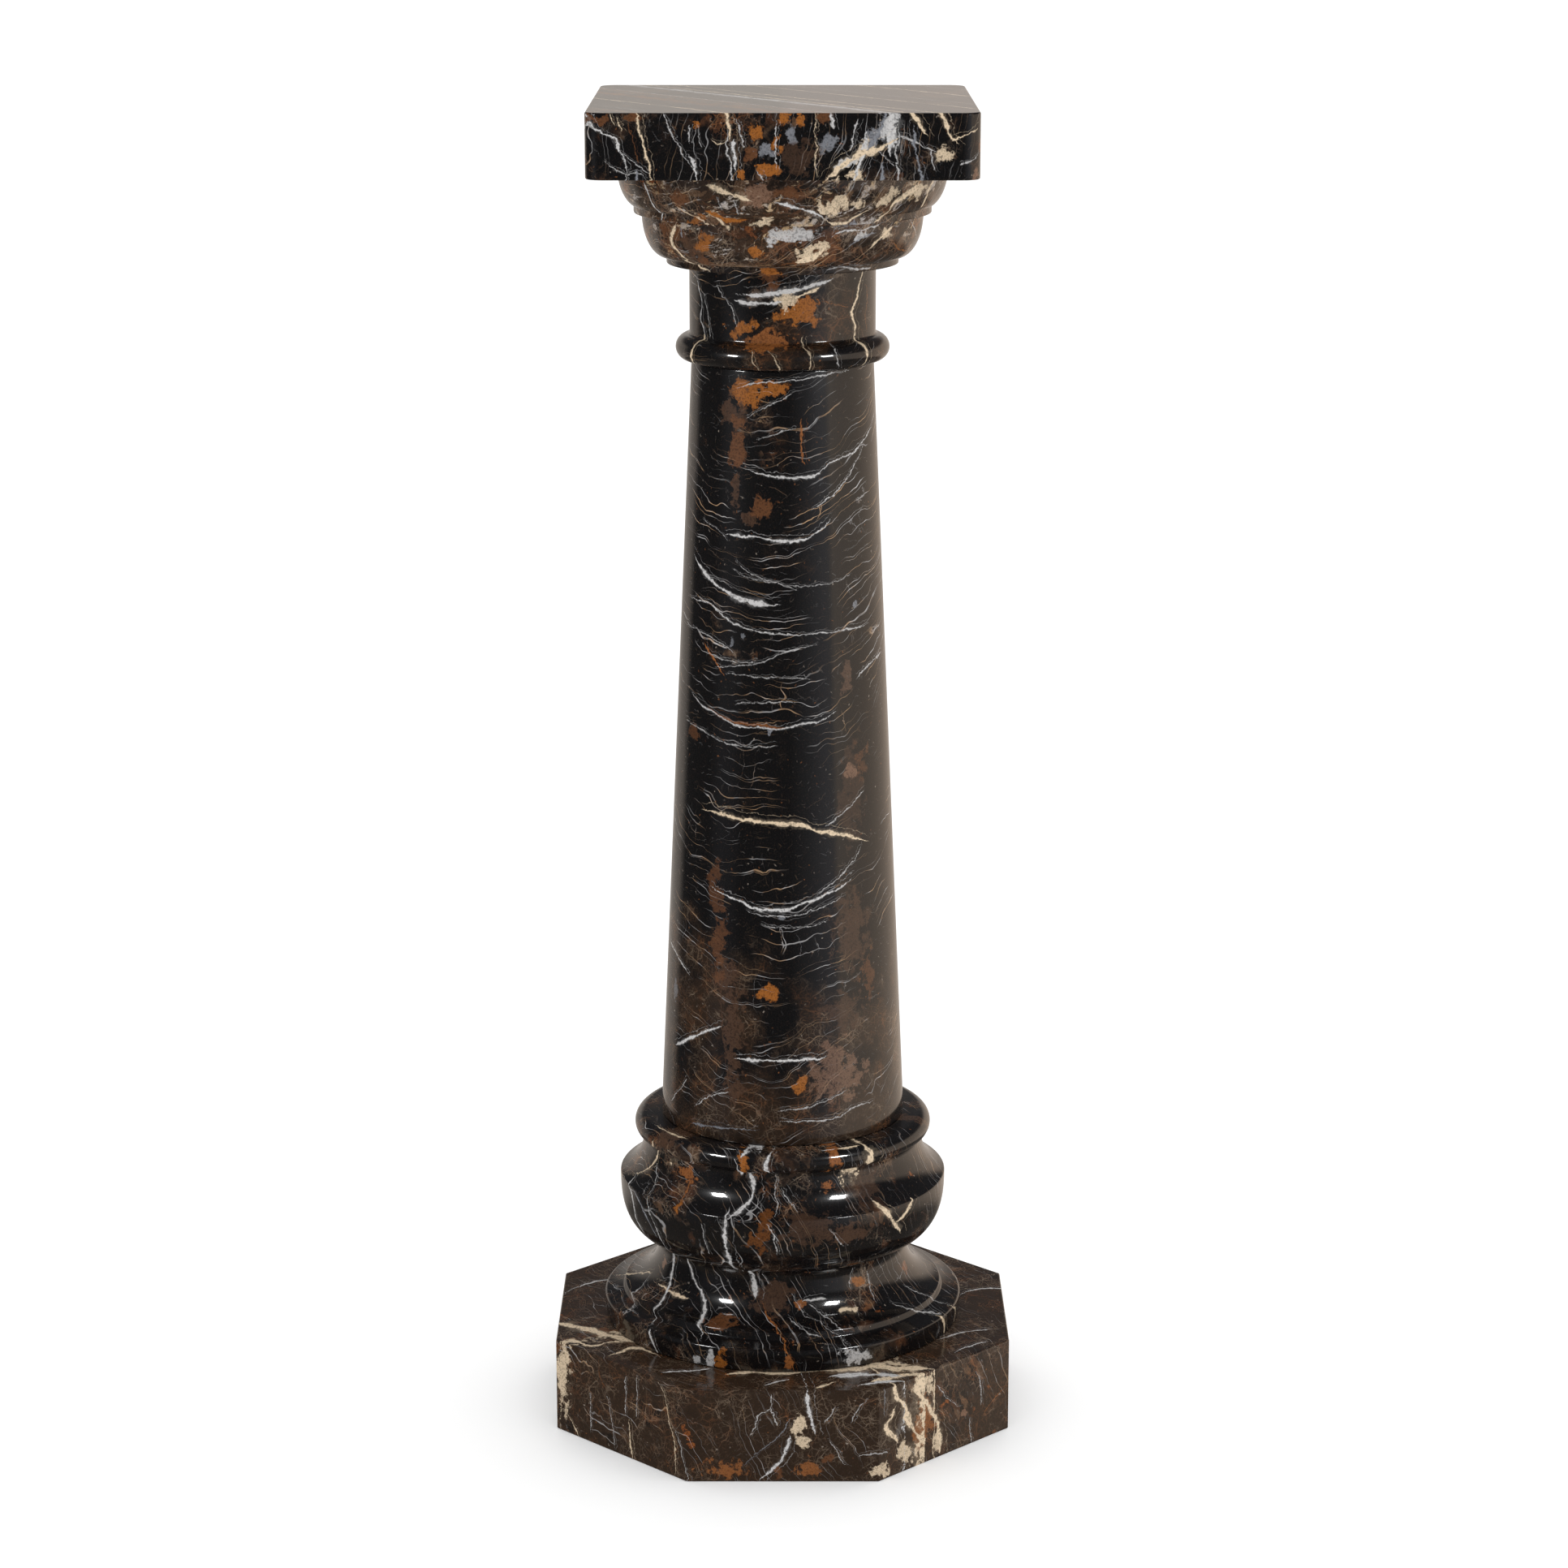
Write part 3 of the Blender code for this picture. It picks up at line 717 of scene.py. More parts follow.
vein(WHITE, 4.0, (2, 41), (1, 29), (0, 20), (-3, 9), (-6, 0))
vein(GREY, 1.6, (2, 55), (0, 43), (-2, 36), (-6, 25), (-10, 13))
vein(WHITE, 1.2, (-3, 76), (-3, 64), (-6, 58), (-7, 48), (-8, 39))
vein(WHITE, 1.2, (-3, 64), (-2, 56), (-1, 49))
vein(WHITE, 1.2, (11, 37), (13, 28), (14, 20), (16, 14))
vein(WHITE, 0.9, (10, 50), (13, 66))
vein(WHITE, 0.9, (16, 50), (18, 63), (20, 73))
vein(WHITE, 1.0, (18, 22), (22, 24), (26, 20))
vein(CREAM, 11.0, (27, 82), (28, 68), (31, 55), (32, 41), (35, 28), (37, 16))
vein(CREAM, 7.0, (28, 61), (26, 52), (25, 46), (27, 34), (29, 26))
vein(CREAM, 8.0, (36, 80), (35, 67), (37, 57), (40, 42), (42, 33), (43, 15), (43, 0))
vein(GREY, 1.2, (24, 79), (24, 55))
vein(WHITE, 1.0, (42, 65), (45, 52), (51, 36))
vein(WHITE, 1.0, (56, 62), (58, 45), (58, 29))
vein(PINK, 1.2, (43, 42), (46, 35), (47, 24))
vein(WHITE, 1.0, (54, 23), (55, 0))
vein(ORANGE, 1.8, (59, 22), (62, 30), (67, 39))
# The sides and the back, in keeping with the front.
vein(CREAM, 4.0, (104, 80), (108, 52), (112, 30), (110, 0))
vein(WHITE, 2.4, (148, 82), (152, 50), (161, 28), (166, 0))
vein(CREAM, 3.0, (-140, 80), (-146, 48), (-143, 20), (-150, 0))
patch(RUST, (128, 30), (16, 18))
patch(CREAM, (-118, 40), (7, 20))
# Sheets that stand upright through the plinth, as seen from above on its top.
upright_vein(CREAM, 15.0, (-192, -36), (-178, -47), (-162, -53), (-151, -64), (-137, -73), (-120, -86))
upright_vein(CREAM, 6.0, (-186, -81), (-172, -82), (-157, -91), (-141, -82), (-130, -88))
upright_vein(CREAM, 8.0, (-144, -114), (-133, -105), (-123, -96), (-111, -103), (-102, -112))
upright_vein(WHITE, 2.4, (-101, -149), (-87, -147), (-75, -146), (-56, -140))
upright_vein(CREAM, 9.0, (-48, -161), (-28, -149), (-6, -151), (20, -147))
upright_vein(CREAM, 16.0, (16, -149), (43, -142), (65, -139), (81, -134), (92, -140), (106, -140),
             (128, -143))
upright_vein(WHITE, 3.0, (-16, -177), (6, -163))
upright_vein(CREAM, 7.0, (26, -183), (33, -177), (44, -168))
upright_vein(WHITE, 2.6, (140, -108), (154, -92), (172, -80))
upright_vein(CREAM, 14.0, (70, -170), (92, -158), (118, -150))
upright_vein(WHITE, 12.0, (36, -162), (70, -154), (100, -158))
upright_vein(WHITE, 7.0, (60, -178), (78, -170), (100, -167))
upright_vein(WHITE, 3.0, (129, -78), (146, -64), (176, -53))
upright_vein(WHITE, 3.0, (150, 14), (166, 38), (192, 40))
upright_vein(WHITE, 3.0, (-190, 20), (-150, 62), (-96, 70))
upright_vein(CREAM, 4.0, (-60, 150), (-20, 162), (40, 158), (90, 172))
set_stone("plinth_stone", plinth_mesh, plinth_marble.finish(PLINTH_GLOSS), "plinth")


# The base is one turned stone: a half-round ring under the shaft, a hollow, a deep bowl,
# a waist, and a flared foot that steps down to a low ring on the plinth.
JOINT_GAP = 0.0003
BASE_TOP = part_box("base")[1][2]
RING_CENTRE_RADIUS = 0.1140
RING_ROUND = 0.0094
RING_SWEEP = 74
HOLLOW_ROUND = 0.0320
HOLLOW_TURN = 67
RIM_RADIUS = 0.1359
RIM_HEIGHT = 0.2037
BOWL_CENTRE_RADIUS = 0.0860
BOWL_FALL = 0.0565
BOWL_FULLNESS = 2.75
BOWL_SWEEP = 73
FLARE_ROUND = 0.0342
FLARE_TURN = 80
STEP_TOP_RADIUS = 0.1330
STEP_TOP_HEIGHT = 0.1062
STEP_FALL = 0.0057
STEP_HOLLOW = 0.0010
FOOT_RING_RADIUS = 0.1501
FOOT_RING_HEIGHT = 0.0973
FOOT_RING_ROUNDING = 0.0026
FOOT_RING_BELLY = 0.0007
RING_STEPS = 30
HOLLOW_STEPS = 26
BOWL_STEPS = 40
FOOT_RING_STEPS = 8
TURNED_SIDES = 192
EDGE_EASING = 0.0010
CORNER_TURN = math.radians(24)
CORNER_STEPS = 4
CORNER_SHARE = 0.45
SAME_POINT = 1e-6
MERGE_REACH = 0.00001


def arc(centre_radius, centre_height, reach, rise, start, end, steps, fullness=2.0):
    """Points of an elliptical arc; a fullness over 2 pushes it out towards its corner."""
    power = 2.0 / fullness
    points = []
    for index in range(steps + 1):
        angle = math.radians(start + (end - start) * index / steps)
        across = math.copysign(abs(math.cos(angle)) ** power, math.cos(angle))
        up = math.copysign(abs(math.sin(angle)) ** power, math.sin(angle))
        points.append((centre_radius + reach * across, centre_height + rise * up))
    return points


def hollow(edge_radius, edge_height, rounding, turn, top):
    """A hollow cut with a round tool, from its top level down and out to its lower edge."""
    centre_radius = edge_radius + rounding * math.cos(math.radians(turn))
    centre_height = edge_height + rounding * math.sin(math.radians(turn))
    start = 180 - math.degrees(math.asin((top - centre_height) / rounding))
    return arc(centre_radius, centre_height, rounding, rounding, start, 180 + turn, HOLLOW_STEPS)


def eased(profile):
    """Round every corner of a profile, and leave its smooth stretches alone."""
    points = [Vector(point) for point in profile]
    points = [point for index, point in enumerate(points)
              if index == 0 or (point - points[index - 1]).length > SAME_POINT]
    rounded = [points[0]]
    for before, corner, after in zip(points, points[1:], points[2:]):
        towards, away = corner - before, after - corner
        if towards.angle(away) < CORNER_TURN:
            rounded.append(corner)
            continue
        start = corner - towards.normalized() * min(EDGE_EASING, towards.length * CORNER_SHARE)
        end = corner + away.normalized() * min(EDGE_EASING, away.length * CORNER_SHARE)
        for index in range(CORNER_STEPS + 1):
            share = index / CORNER_STEPS
            first = start.lerp(corner, share)
            second = corner.lerp(end, share)
            rounded.append(first.lerp(second, share))
    rounded.append(points[-1])
    return rounded


def turning_tree():
    """Geometry nodes that turn a profile, given as points from top to bottom, about the axis."""
    tree = bpy.data.node_groups.new("turning", "GeometryNodeTree")
    tree.interface.new_socket("Profile", in_out="INPUT", socket_type="NodeSocketGeometry")
    tree.interface.new_socket("Sides", in_out="INPUT", socket_type="NodeSocketInt")
    tree.interface.new_socket("Sharp Angle", in_out="INPUT", socket_type="NodeSocketFloat")
    tree.interface.new_socket("Marble", in_out="INPUT", socket_type="NodeSocketMaterial")
    tree.interface.new_socket("Stone", in_out="OUTPUT", socket_type="NodeSocketGeometry")
    recipe = Recipe(tree)
    given = tree.nodes.new("NodeGroupInput").outputs
    result = tree.nodes.new("NodeGroupOutput").inputs
    sides = given["Sides"]
    rows = recipe.node("GeometryNodeAttributeDomainSize", given["Profile"], component="MESH")
    columns = recipe.sum("ADD", sides, 1.0)
    grid = recipe.node("GeometryNodeMeshGrid", 1.0, 1.0, rows, columns)
    index = recipe.node("GeometryNodeInputIndex")
    row = recipe.sum("FLOOR", recipe.sum("DIVIDE", index, columns))
    column = recipe.sum("SUBTRACT", index, recipe.sum("MULTIPLY", row, columns))
    position = recipe.node("GeometryNodeInputPosition")
    sample = recipe.tree.nodes.new("GeometryNodeSampleIndex")
    sample.data_type = "FLOAT_VECTOR"
    recipe.feed(sample.inputs["Geometry"], given["Profile"])
    recipe.feed(sample.inputs["Value"], position)
    recipe.feed(sample.inputs["Index"], row)
    point = recipe.node("ShaderNodeSeparateXYZ", sample.outputs["Value"]).node.outputs
    angle = recipe.sum("MULTIPLY", recipe.sum("DIVIDE", column, sides), math.tau)
    across = recipe.sum("MULTIPLY", point["X"], recipe.sum("COSINE", angle))
    back = recipe.sum("MULTIPLY", point["X"], recipe.sum("SINE", angle))
    spot = recipe.node("ShaderNodeCombineXYZ", across, back, point["Z"])
    placed = recipe.node("GeometryNodeSetPosition", grid, True, spot)
    closed = recipe.node("GeometryNodeMergeByDistance", placed, True, MERGE_REACH)
    smooth = recipe.node("GeometryNodeSetShadeSmooth", closed, True, True)
    turned = recipe.tree.nodes.new("GeometryNodeSetShadeSmooth")
    turned.domain = "EDGE"
    bend = recipe.node("GeometryNodeInputMeshEdgeAngle", out=0)
    sharp = recipe.sum("GREATER_THAN", bend, given["Sharp Angle"])
    recipe.feed(turned.inputs["Geometry"], smooth)
    recipe.feed(turned.inputs["Selection"], sharp)
    recipe.feed(turned.inputs["Shade Smooth"], False)
    whole = recipe.node("GeometryNodeRealizeInstances", turned.outputs[0])
    dressed = recipe.tree.nodes.new("GeometryNodeSetMaterial")
    recipe.feed(dressed.inputs["Geometry"], whole)
    recipe.feed(dressed.inputs["Material"], given["Marble"])
    recipe.feed(result["Stone"], dressed.outputs[0])
    return tree


turning = turning_tree()


def turned_stone(name, profile, material):
    """Turn a profile of (radius, height) points, closed to the axis at both ends, into a mesh."""
    first, last = profile[0], profile[-1]
    closed = [(0.0, first[1]), *profile, (0.0, last[1])]
    outline = [(radius, 0.0, height) for radius, height in eased(closed)]
    line = bpy.data.meshes.new(name + "_profile")
    line.from_pydata(outline, [(index, index + 1) for index in range(len(outline) - 1)], [])
    blank = bpy.data.objects.new(name + "_profile", line)
    bpy.context.scene.collection.objects.link(blank)
    lathe = blank.modifiers.new("turning", "NODES")
    lathe.node_group = turning
    values = {"Sides": TURNED_SIDES, "Sharp Angle": SHARP_ANGLE, "Marble": material}
    for item in turning.interface.items_tree:
        if item.name in values:
            lathe[item.identifier] = values[item.name]
    evaluated = blank.evaluated_get(bpy.context.evaluated_depsgraph_get())
    mesh = bpy.data.meshes.new_from_object(evaluated)
    mesh.name = name
    blank.modifiers.remove(lathe)
    bpy.data.objects.remove(blank)
    return mesh


ring_height = BASE_TOP - RING_ROUND
base_profile = arc(RING_CENTRE_RADIUS, ring_height, RING_ROUND, RING_ROUND, 90, -RING_SWEEP,
                   RING_STEPS)
base_profile += hollow(RIM_RADIUS, RIM_HEIGHT, HOLLOW_ROUND, HOLLOW_TURN, base_profile[-1][1])
base_profile += arc(BOWL_CENTRE_RADIUS, RIM_HEIGHT, RIM_RADIUS - BOWL_CENTRE_RADIUS, BOWL_FALL,
                    0, -BOWL_SWEEP, BOWL_STEPS, BOWL_FULLNESS)[1:]
base_profile += hollow(STEP_TOP_RADIUS, STEP_TOP_HEIGHT, FLARE_ROUND, FLARE_TURN, base_profile[-1][1])
base_profile.append((STEP_TOP_RADIUS + STEP_HOLLOW, STEP_TOP_HEIGHT - STEP_FALL))
base_profile += arc(FOOT_RING_RADIUS - FOOT_RING_ROUNDING, FOOT_RING_HEIGHT - FOOT_RING_ROUNDING,
                    FOOT_RING_ROUNDING, FOOT_RING_ROUNDING, 90, 0, FOOT_RING_STEPS)
base_profile.append((FOOT_RING_RADIUS - FOOT_RING_BELLY, PLINTH_HEIGHT + JOINT_GAP))
base_marble = Marble("base_marble", (1.3, 2.2, 0.4), (0.85, 0.35, 0.38), brown=0.2, shatter=0.55,
                     threads=0.75, rust=0.25, cream=-0.4)
patch, vein, upright_vein = base_marble.patch, base_marble.vein, base_marble.upright_vein
patch(BROWN, (-52, 253), (12, 9))
patch(AMBER, (-16, 248), (5, 7))
patch(ORANGE, (20, 250), (6, 9))
patch(BROWN, (76, 255), (7, 6))
patch(ORANGE, (-41, 228), (9, 5))
patch(ORANGE, (18, 226), (6, 5))
patch(BROWN, (32, 222), (15, 13), strength=0.6)
patch(AMBER, (-40, 205), (3, 3))
patch(HONEY, (-6, 204), (6, 5))
patch(HONEY, (-8, 187), (9, 10))
patch(BROWN, (8, 195), (20, 13), strength=0.7)
patch(BROWN, (25, 190), (17, 8))
patch(PINK, (-69, 132), (4, 6))
patch(BROWN, (-5, 128), (16, 12))
patch(ORANGE, (7, 121), (4, 3))
patch(AMBER, (36, 133), (6, 4))
patch(RUST, (-23, 110), (9, 5))
patch(AMBER, (-19, 86), (5, 7))
patch(WHITE, (-23, 86), (3, 7))
patch(WHITE, (-28, 83), (3, 4))
patch(WHITE, (24, 88), (12, 6))
patch(ORANGE, (3, 89), (2, 8))
upright_vein(CREAM, 4.0, (-106, -43), (-91, -69), (-76, -84))
vein(WHITE, 4.2, (-8, 256), (-16, 254), (-19, 250), (-19, 244), (-16, 237))
vein(WHITE, 3.4, (-1, 256), (-5, 254), (-6, 250), (-6, 243), (-4, 238))
vein(CREAM, 10.0, (34, 258), (35, 253), (36, 247), (34, 238))
upright_vein(CREAM, 4.5, (45, -107), (63, -97))
vein(WHITE, 7.0, (-14, 240), (-12, 230), (-12, 218), (-15, 210), (-21, 201))
vein(CREAM, 2.6, (-59, 250), (-61, 242), (-64, 226), (-70, 214), (-80, 205))
vein(WHITE, 1.0, (-63, 226), (-58, 213), (-56, 204))
vein(ORANGE, 1.4, (-39, 222), (-40, 214), (-39, 208))
vein(WHITE, 1.0, (-3, 238), (-3, 222), (-2, 211), (-4, 205))
vein(WHITE, 1.0, (-1, 227), (2, 218), (6, 208))
vein(WHITE, 6.5, (-20, 210), (-20, 199), (-20, 176), (-17, 146))
vein(WHITE, 1.3, (-55, 206), (-54, 192), (-51, 181), (-50, 162), (-52, 148))
vein(WHITE, 2.8, (-74, 212), (-71, 204), (-67, 198), (-65, 173), (-60, 158))
vein(GREY, 3.0, (-66, 204), (-59, 192), (-55, 182), (-52, 168))
vein(WHITE, 1.0, (-29, 196), (-28, 182), (-27, 168))
vein(WHITE, 1.2, (-6, 202), (-3, 189), (-2, 174))
vein(WHITE, 1.0, (16, 196), (22, 178))
vein(CREAM, 7.0, (35, 212), (38, 203), (42, 190), (47, 178))
vein(CREAM, 6.0, (52, 206), (49, 196), (42, 188))
vein(WHITE, 5.0, (-52, 162), (-60, 136), (-58, 121), (-54, 108), (-48, 97))
vein(WHITE, 4.0, (-47, 97), (-46, 90), (-43, 78))
vein(WHITE, 4.5, (-50, 152), (-46, 138), (-44, 131), (-37, 122), (-33, 112), (-28, 97))
vein(WHITE, 5.0, (-15, 150), (-13, 138), (-12, 124))
vein(WHITE, 1.2, (-9, 147), (-6, 136))
vein(CREAM, 1.6, (-99, 98), (-90, 107), (-76, 119))
vein(ORANGE, 2.0, (-9, 124), (-5, 112), (-2, 107), (1, 98), (3, 86), (4, 78))
vein(WHITE, 2.2, (8, 123), (14, 125), (20, 124))
vein(WHITE, 0.9, (4, 131), (8, 117), (18, 105), (22, 96))
vein(WHITE, 0.9, (11, 122), (17, 113), (22, 104))
vein(WHITE, 1.0, (2, 114), (9, 106), (14, 102))
vein(WHITE, 1.0, (33, 146), (31, 127))
vein(WHITE, 1.0, (42, 140), (42, 126), (42, 114))
vein(CREAM, 5.0, (60, 98), (64, 86), (64, 78))
vein(CREAM, 4.0, (69, 98), (75, 86), (72, 79))
vein(WHITE, 1.4, (48, 112), (56, 103), (64, 96))
vein(WHITE, 1.4, (62, 118), (68, 106), (72, 96))
vein(WHITE, 1.2, (-78, 118), (-70, 104), (-62, 97))
# The sides and the back, in keeping with the front.
vein(WHITE, 3.4, (112, 256), (116, 236), (121, 214), (118, 190), (124, 150))
vein(WHITE, 2.6, (158, 214), (163, 190), (160, 160), (168, 120), (166, 79))
vein(CREAM, 3.4, (-128, 240), (-133, 210), (-129, 180), (-138, 140), (-134, 98))
patch(AMBER, (141, 196), (12, 14))
patch(BROWN, (-160, 222), (18, 14))
base_material = base_marble.finish()
base_mesh = turned_stone("base_stone", base_profile, base_material)
set_stone("base_stone", base_mesh, base_material, "base")


# The shaft is one tapered drum, turned straight and polished, standing inside the ring of
# the base. White threads cross it in shallow bowls, with amber near the top.
SHAFT_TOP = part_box("shaft")[1][2]
SHAFT_TOP_RADIUS = 0.0731
SHAFT_FOOT_RADIUS = 0.1011
SHAFT_TOP_ROUNDING = 0.0012
SHAFT_ROUNDING_STEPS = 6
SHAFT_ROWS = 24

shaft_foot = BASE_TOP + JOINT_GAP
shaft_shoulder = SHAFT_TOP - SHAFT_TOP_ROUNDING
shaft_profile = arc(SHAFT_TOP_RADIUS - SHAFT_TOP_ROUNDING, shaft_shoulder, SHAFT_TOP_ROUNDING,
                    SHAFT_TOP_ROUNDING, 90, 0, SHAFT_ROUNDING_STEPS)
for row in range(1, SHAFT_ROWS + 1):
    share = row / SHAFT_ROWS
    shaft_profile.append((SHAFT_TOP_RADIUS + (SHAFT_FOOT_RADIUS - SHAFT_TOP_RADIUS) * share,
                          shaft_shoulder + (shaft_foot - shaft_shoulder) * share))
shaft_marble = Marble("shaft_marble", (0.2, 1.1, 0.0), (-0.12, -0.5, 0.86),
                      brown=(0.30, 0.58, 0.55, 0.0), shatter=0.25, threads=(0.30, 0.55, 0.65, 0.95),
                      rust=0.15, cream=-0.1)
patch, vein = shaft_marble.patch, shaft_marble.vein
patch(AMBER, (-22, 867), (12, 10), lean=-20)
patch(AMBER, (-6, 873), (12, 7))
patch(BROWN, (-30, 852), (11, 14), lean=-30)
patch(RUST, (-28, 826), (6, 22))
patch(BROWN, (-27, 795), (4, 20))
patch(RUST, (-12, 777), (9, 6), lean=30)
patch(BROWN, (-19, 770), (7, 5))
vein(ORANGE, 2.4, (-50, 664), (-44, 656), (-37, 646), (-33, 640))
patch(RUST, (-56, 588), (10, 7), strength=0.6)
patch(AMBER, (-8, 383), (6, 8))
patch(RUST, (-36, 466), (6, 22), strength=0.6)
patch(RUST, (-33, 420), (7, 28), strength=0.7)
patch(BROWN, (-29, 392), (8, 18))
patch(BROWN, (-24, 350), (7, 40))
patch(BROWN, (40, 545), (12, 40), strength=0.45)
patch(BROWN, (38, 430), (16, 30), strength=0.7)
patch(RUST, (46, 567), (6, 12), strength=0.5)
patch(RUST, (47, 391), (8, 14), strength=0.6)
patch(BROWN, (31, 362), (15, 16), strength=0.7)
patch(PINK, (27, 312), (22, 22), strength=0.6)
patch(AMBER, (9, 307), (7, 6))
patch(GREY, (-29, 669), (2, 4), lean=-20, strength=0.7)
patch(GREY, (-23, 674), (1.5, 3), lean=20, strength=0.7)
patch(GREY, (-7, 598), (1.5, 4))
patch(GREY, (0, 446), (2.5, 2), strength=0.7)
patch(GREY, (45, 695), (2, 3))
patch(GREY, (-67, 368), (4, 8), strength=0.5)
patch(PINK, (39, 561), (6, 6), strength=0.7)
patch(PINK, (38, 640), (9, 14), strength=0.35)
patch(BROWN, (-23, 298), (9, 7))
vein(WHITE, 1.6, (-31, 870), (-7, 877), (15, 879), (32, 882), (47, 884))
vein(WHITE, 0.8, (-23, 848), (8, 869))
vein(WHITE, 0.8, (-15, 831), (8, 841))
vein(ORANGE, 2.0, (12, 849), (11, 830), (14, 811))
vein(WHITE, 2.2, (-24, 807), (16, 802), (31, 812), (49, 819), (69, 835), (81, 848))
vein(WHITE, 2.2, (16, 775), (30, 785), (41, 798), (60, 825))
vein(WHITE, 3.4, (-36, 754), (-15, 754), (7, 751), (19, 757), (31, 770))
vein(WHITE, 0.8, (-54, 763), (-40, 757), (-33, 748))
vein(WHITE, 0.8, (-29, 735), (-16, 723), (0, 716), (9, 712))
vein(WHITE, 0.8, (-31, 728), (-11, 719), (17, 715), (32, 717), (44, 722))
vein(WHITE, 5.5, (-64, 735), (-52, 722), (-34, 709), (-18, 702), (0, 701))
vein(WHITE, 1.8, (-70, 697), (-51, 698), (-35, 688), (-14, 679), (4, 676), (28, 677), (58, 678))
vein(WHITE, 0.9, (-71, 676), (-44, 670), (-27, 659))
vein(WHITE, 0.9, (-47, 659), (-27, 653), (-13, 655))
vein(WHITE, 0.9, (-41, 646), (-15, 653), (9, 665), (21, 667))
vein(WHITE, 0.9, (-33, 643), (16, 641))
vein(WHITE, 1.8, (73, 652), (55, 644), (44, 636))
vein(WHITE, 0.9, (-27, 618), (-8, 622), (9, 622))
vein(ORANGE, 4.0, (-46, 614), (-30, 605), (-16, 603), (4, 602), strength=0.6)
vein(WHITE, 1.8, (-63, 624), (-39, 608), (-20, 601), (-4, 601), (15, 605), (32, 613))
vein(WHITE, 1.0, (-66, 598), (-44, 591), (-25, 585), (-2, 587))
vein(CREAM, 4.6, (-48, 528), (-33, 528), (-9, 524), (7, 523), (17, 517), (32, 511), (52, 500))
vein(WHITE, 1.4, (22, 518), (34, 530), (49, 545))
vein(WHITE, 3.4, (-40, 467), (-26, 460), (-3, 452), (13, 459), (26, 465), (40, 476))
vein(WHITE, 1.2, (16, 463), (33, 480), (46, 500))
vein(WHITE, 1.0, (-20, 452), (-2, 447), (16, 452), (34, 462))
vein(WHITE, 0.9, (-12, 441), (6, 438), (24, 444))
vein(WHITE, 1.8, (-79, 407), (-64, 398), (-52, 387))
vein(WHITE, 3.2, (-65, 323), (-46, 340), (-29, 354))
vein(WHITE, 3.0, (-24, 327), (2, 327), (23, 330))
vein(WHITE, 1.4, (-67, 274), (-52, 300))
vein(WHITE, 1.6, (-47, 278), (-35, 293), (-25, 299))
vein(GREY, 2.0, (-49, 264), (-29, 267), (-11, 269))
vein(WHITE, 1.0, (-2, 285), (13, 288), (32, 299))
vein(WHITE, 1.4, (-2, 277), (24, 276), (32, 281), (49, 284))
vein(BROWN, 1.6, (-33, 400), (-30, 350), (-26, 300), (-22, 262))
# The sides and the back, in keeping with the front.
vein(WHITE, 2.4, (96, 842), (120, 830), (146, 838), (168, 856))
vein(WHITE, 3.0, (-166, 748), (-140, 728), (-112, 724), (-88, 738))
vein(CREAM, 4.5, (84, 604), (110, 592), (132, 598), (160, 622))
vein(WHITE, 2.0, (-170, 520), (-142, 500), (-118, 504), (-92, 524))
vein(WHITE, 2.6, (92, 420), (118, 404), (150, 410), (170, 432))
vein(WHITE, 1.6, (-160, 330), (-128, 316), (-100, 322))
patch(AMBER, (132, 700), (14, 30), lean=15)
patch(BROWN, (-132, 610), (18, 40))
patch(RUST, (-150, 410), (8, 36))
patch(BROWN, (128, 330), (20, 28))
shaft_material = shaft_marble.finish()
shaft_mesh = turned_stone("shaft_stone", shaft_profile, shaft_material)
set_stone("shaft_stone", shaft_mesh, shaft_material, "shaft")


# The capital is one turned stone of shattered brown marble: two quarter-round mouldings
# with a fillet under each, a plain neck, and a half-round ring where it meets the shaft.
SLAB_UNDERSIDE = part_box("top_slab")[0][2]
UPPER_OVOLO_RADIUS = 0.1314
UPPER_OVOLO_REACH = 0.0174
UPPER_OVOLO_FALL = 0.0334
UPPER_OVOLO_SWEEP = 73
UPPER_FILLET_RADIUS = 0.1183
UPPER_FILLET_HEIGHT = 0.0058
LOWER_OVOLO_RADIUS = 0.1119
LOWER_OVOLO_REACH = 0.0180
LOWER_OVOLO_FALL = 0.0346
LOWER_FILLET_RADIUS = 0.0924
LOWER_FILLET_HEIGHT = 0.0055
NECK_RADIUS = 0.0744
ASTRAGAL_CENTRE_RADIUS = 0.0754
ASTRAGAL_ROUND = 0.0102
ASTRAGAL_HOLLOW = 0.0024
UPPER_OVOLO_STEPS = 22
LOWER_OVOLO_STEPS = 24
SMALL_HOLLOW_STEPS = 8
ASTRAGAL_STEPS = 26
NECK_FADE = (0.955, 0.985)

capital_top = SLAB_UNDERSIDE - JOINT_GAP
capital_profile = arc(UPPER_OVOLO_RADIUS - UPPER_OVOLO_REACH, capital_top, UPPER_OVOLO_REACH,
                      UPPER_OVOLO_FALL, 0, -UPPER_OVOLO_SWEEP, UPPER_OVOLO_STEPS)
height = capital_profile[-1][1]
capital_profile.append((UPPER_FILLET_RADIUS, height))
height -= UPPER_FILLET_HEIGHT
capital_profile.append((UPPER_FILLET_RADIUS, height))
capital_profile += arc(LOWER_OVOLO_RADIUS - LOWER_OVOLO_REACH, height, LOWER_OVOLO_REACH,
                       LOWER_OVOLO_FALL, 0, -90, LOWER_OVOLO_STEPS)
height = capital_profile[-1][1]
capital_profile.append((LOWER_FILLET_RADIUS, height))
height -= LOWER_FILLET_HEIGHT
capital_profile += [(LOWER_FILLET_RADIUS, height), (NECK_RADIUS, height)]
astragal_height = SHAFT_TOP + JOINT_GAP + ASTRAGAL_ROUND
hollow_radius = NECK_RADIUS + ASTRAGAL_HOLLOW
offset_across = hollow_radius - ASTRAGAL_CENTRE_RADIUS
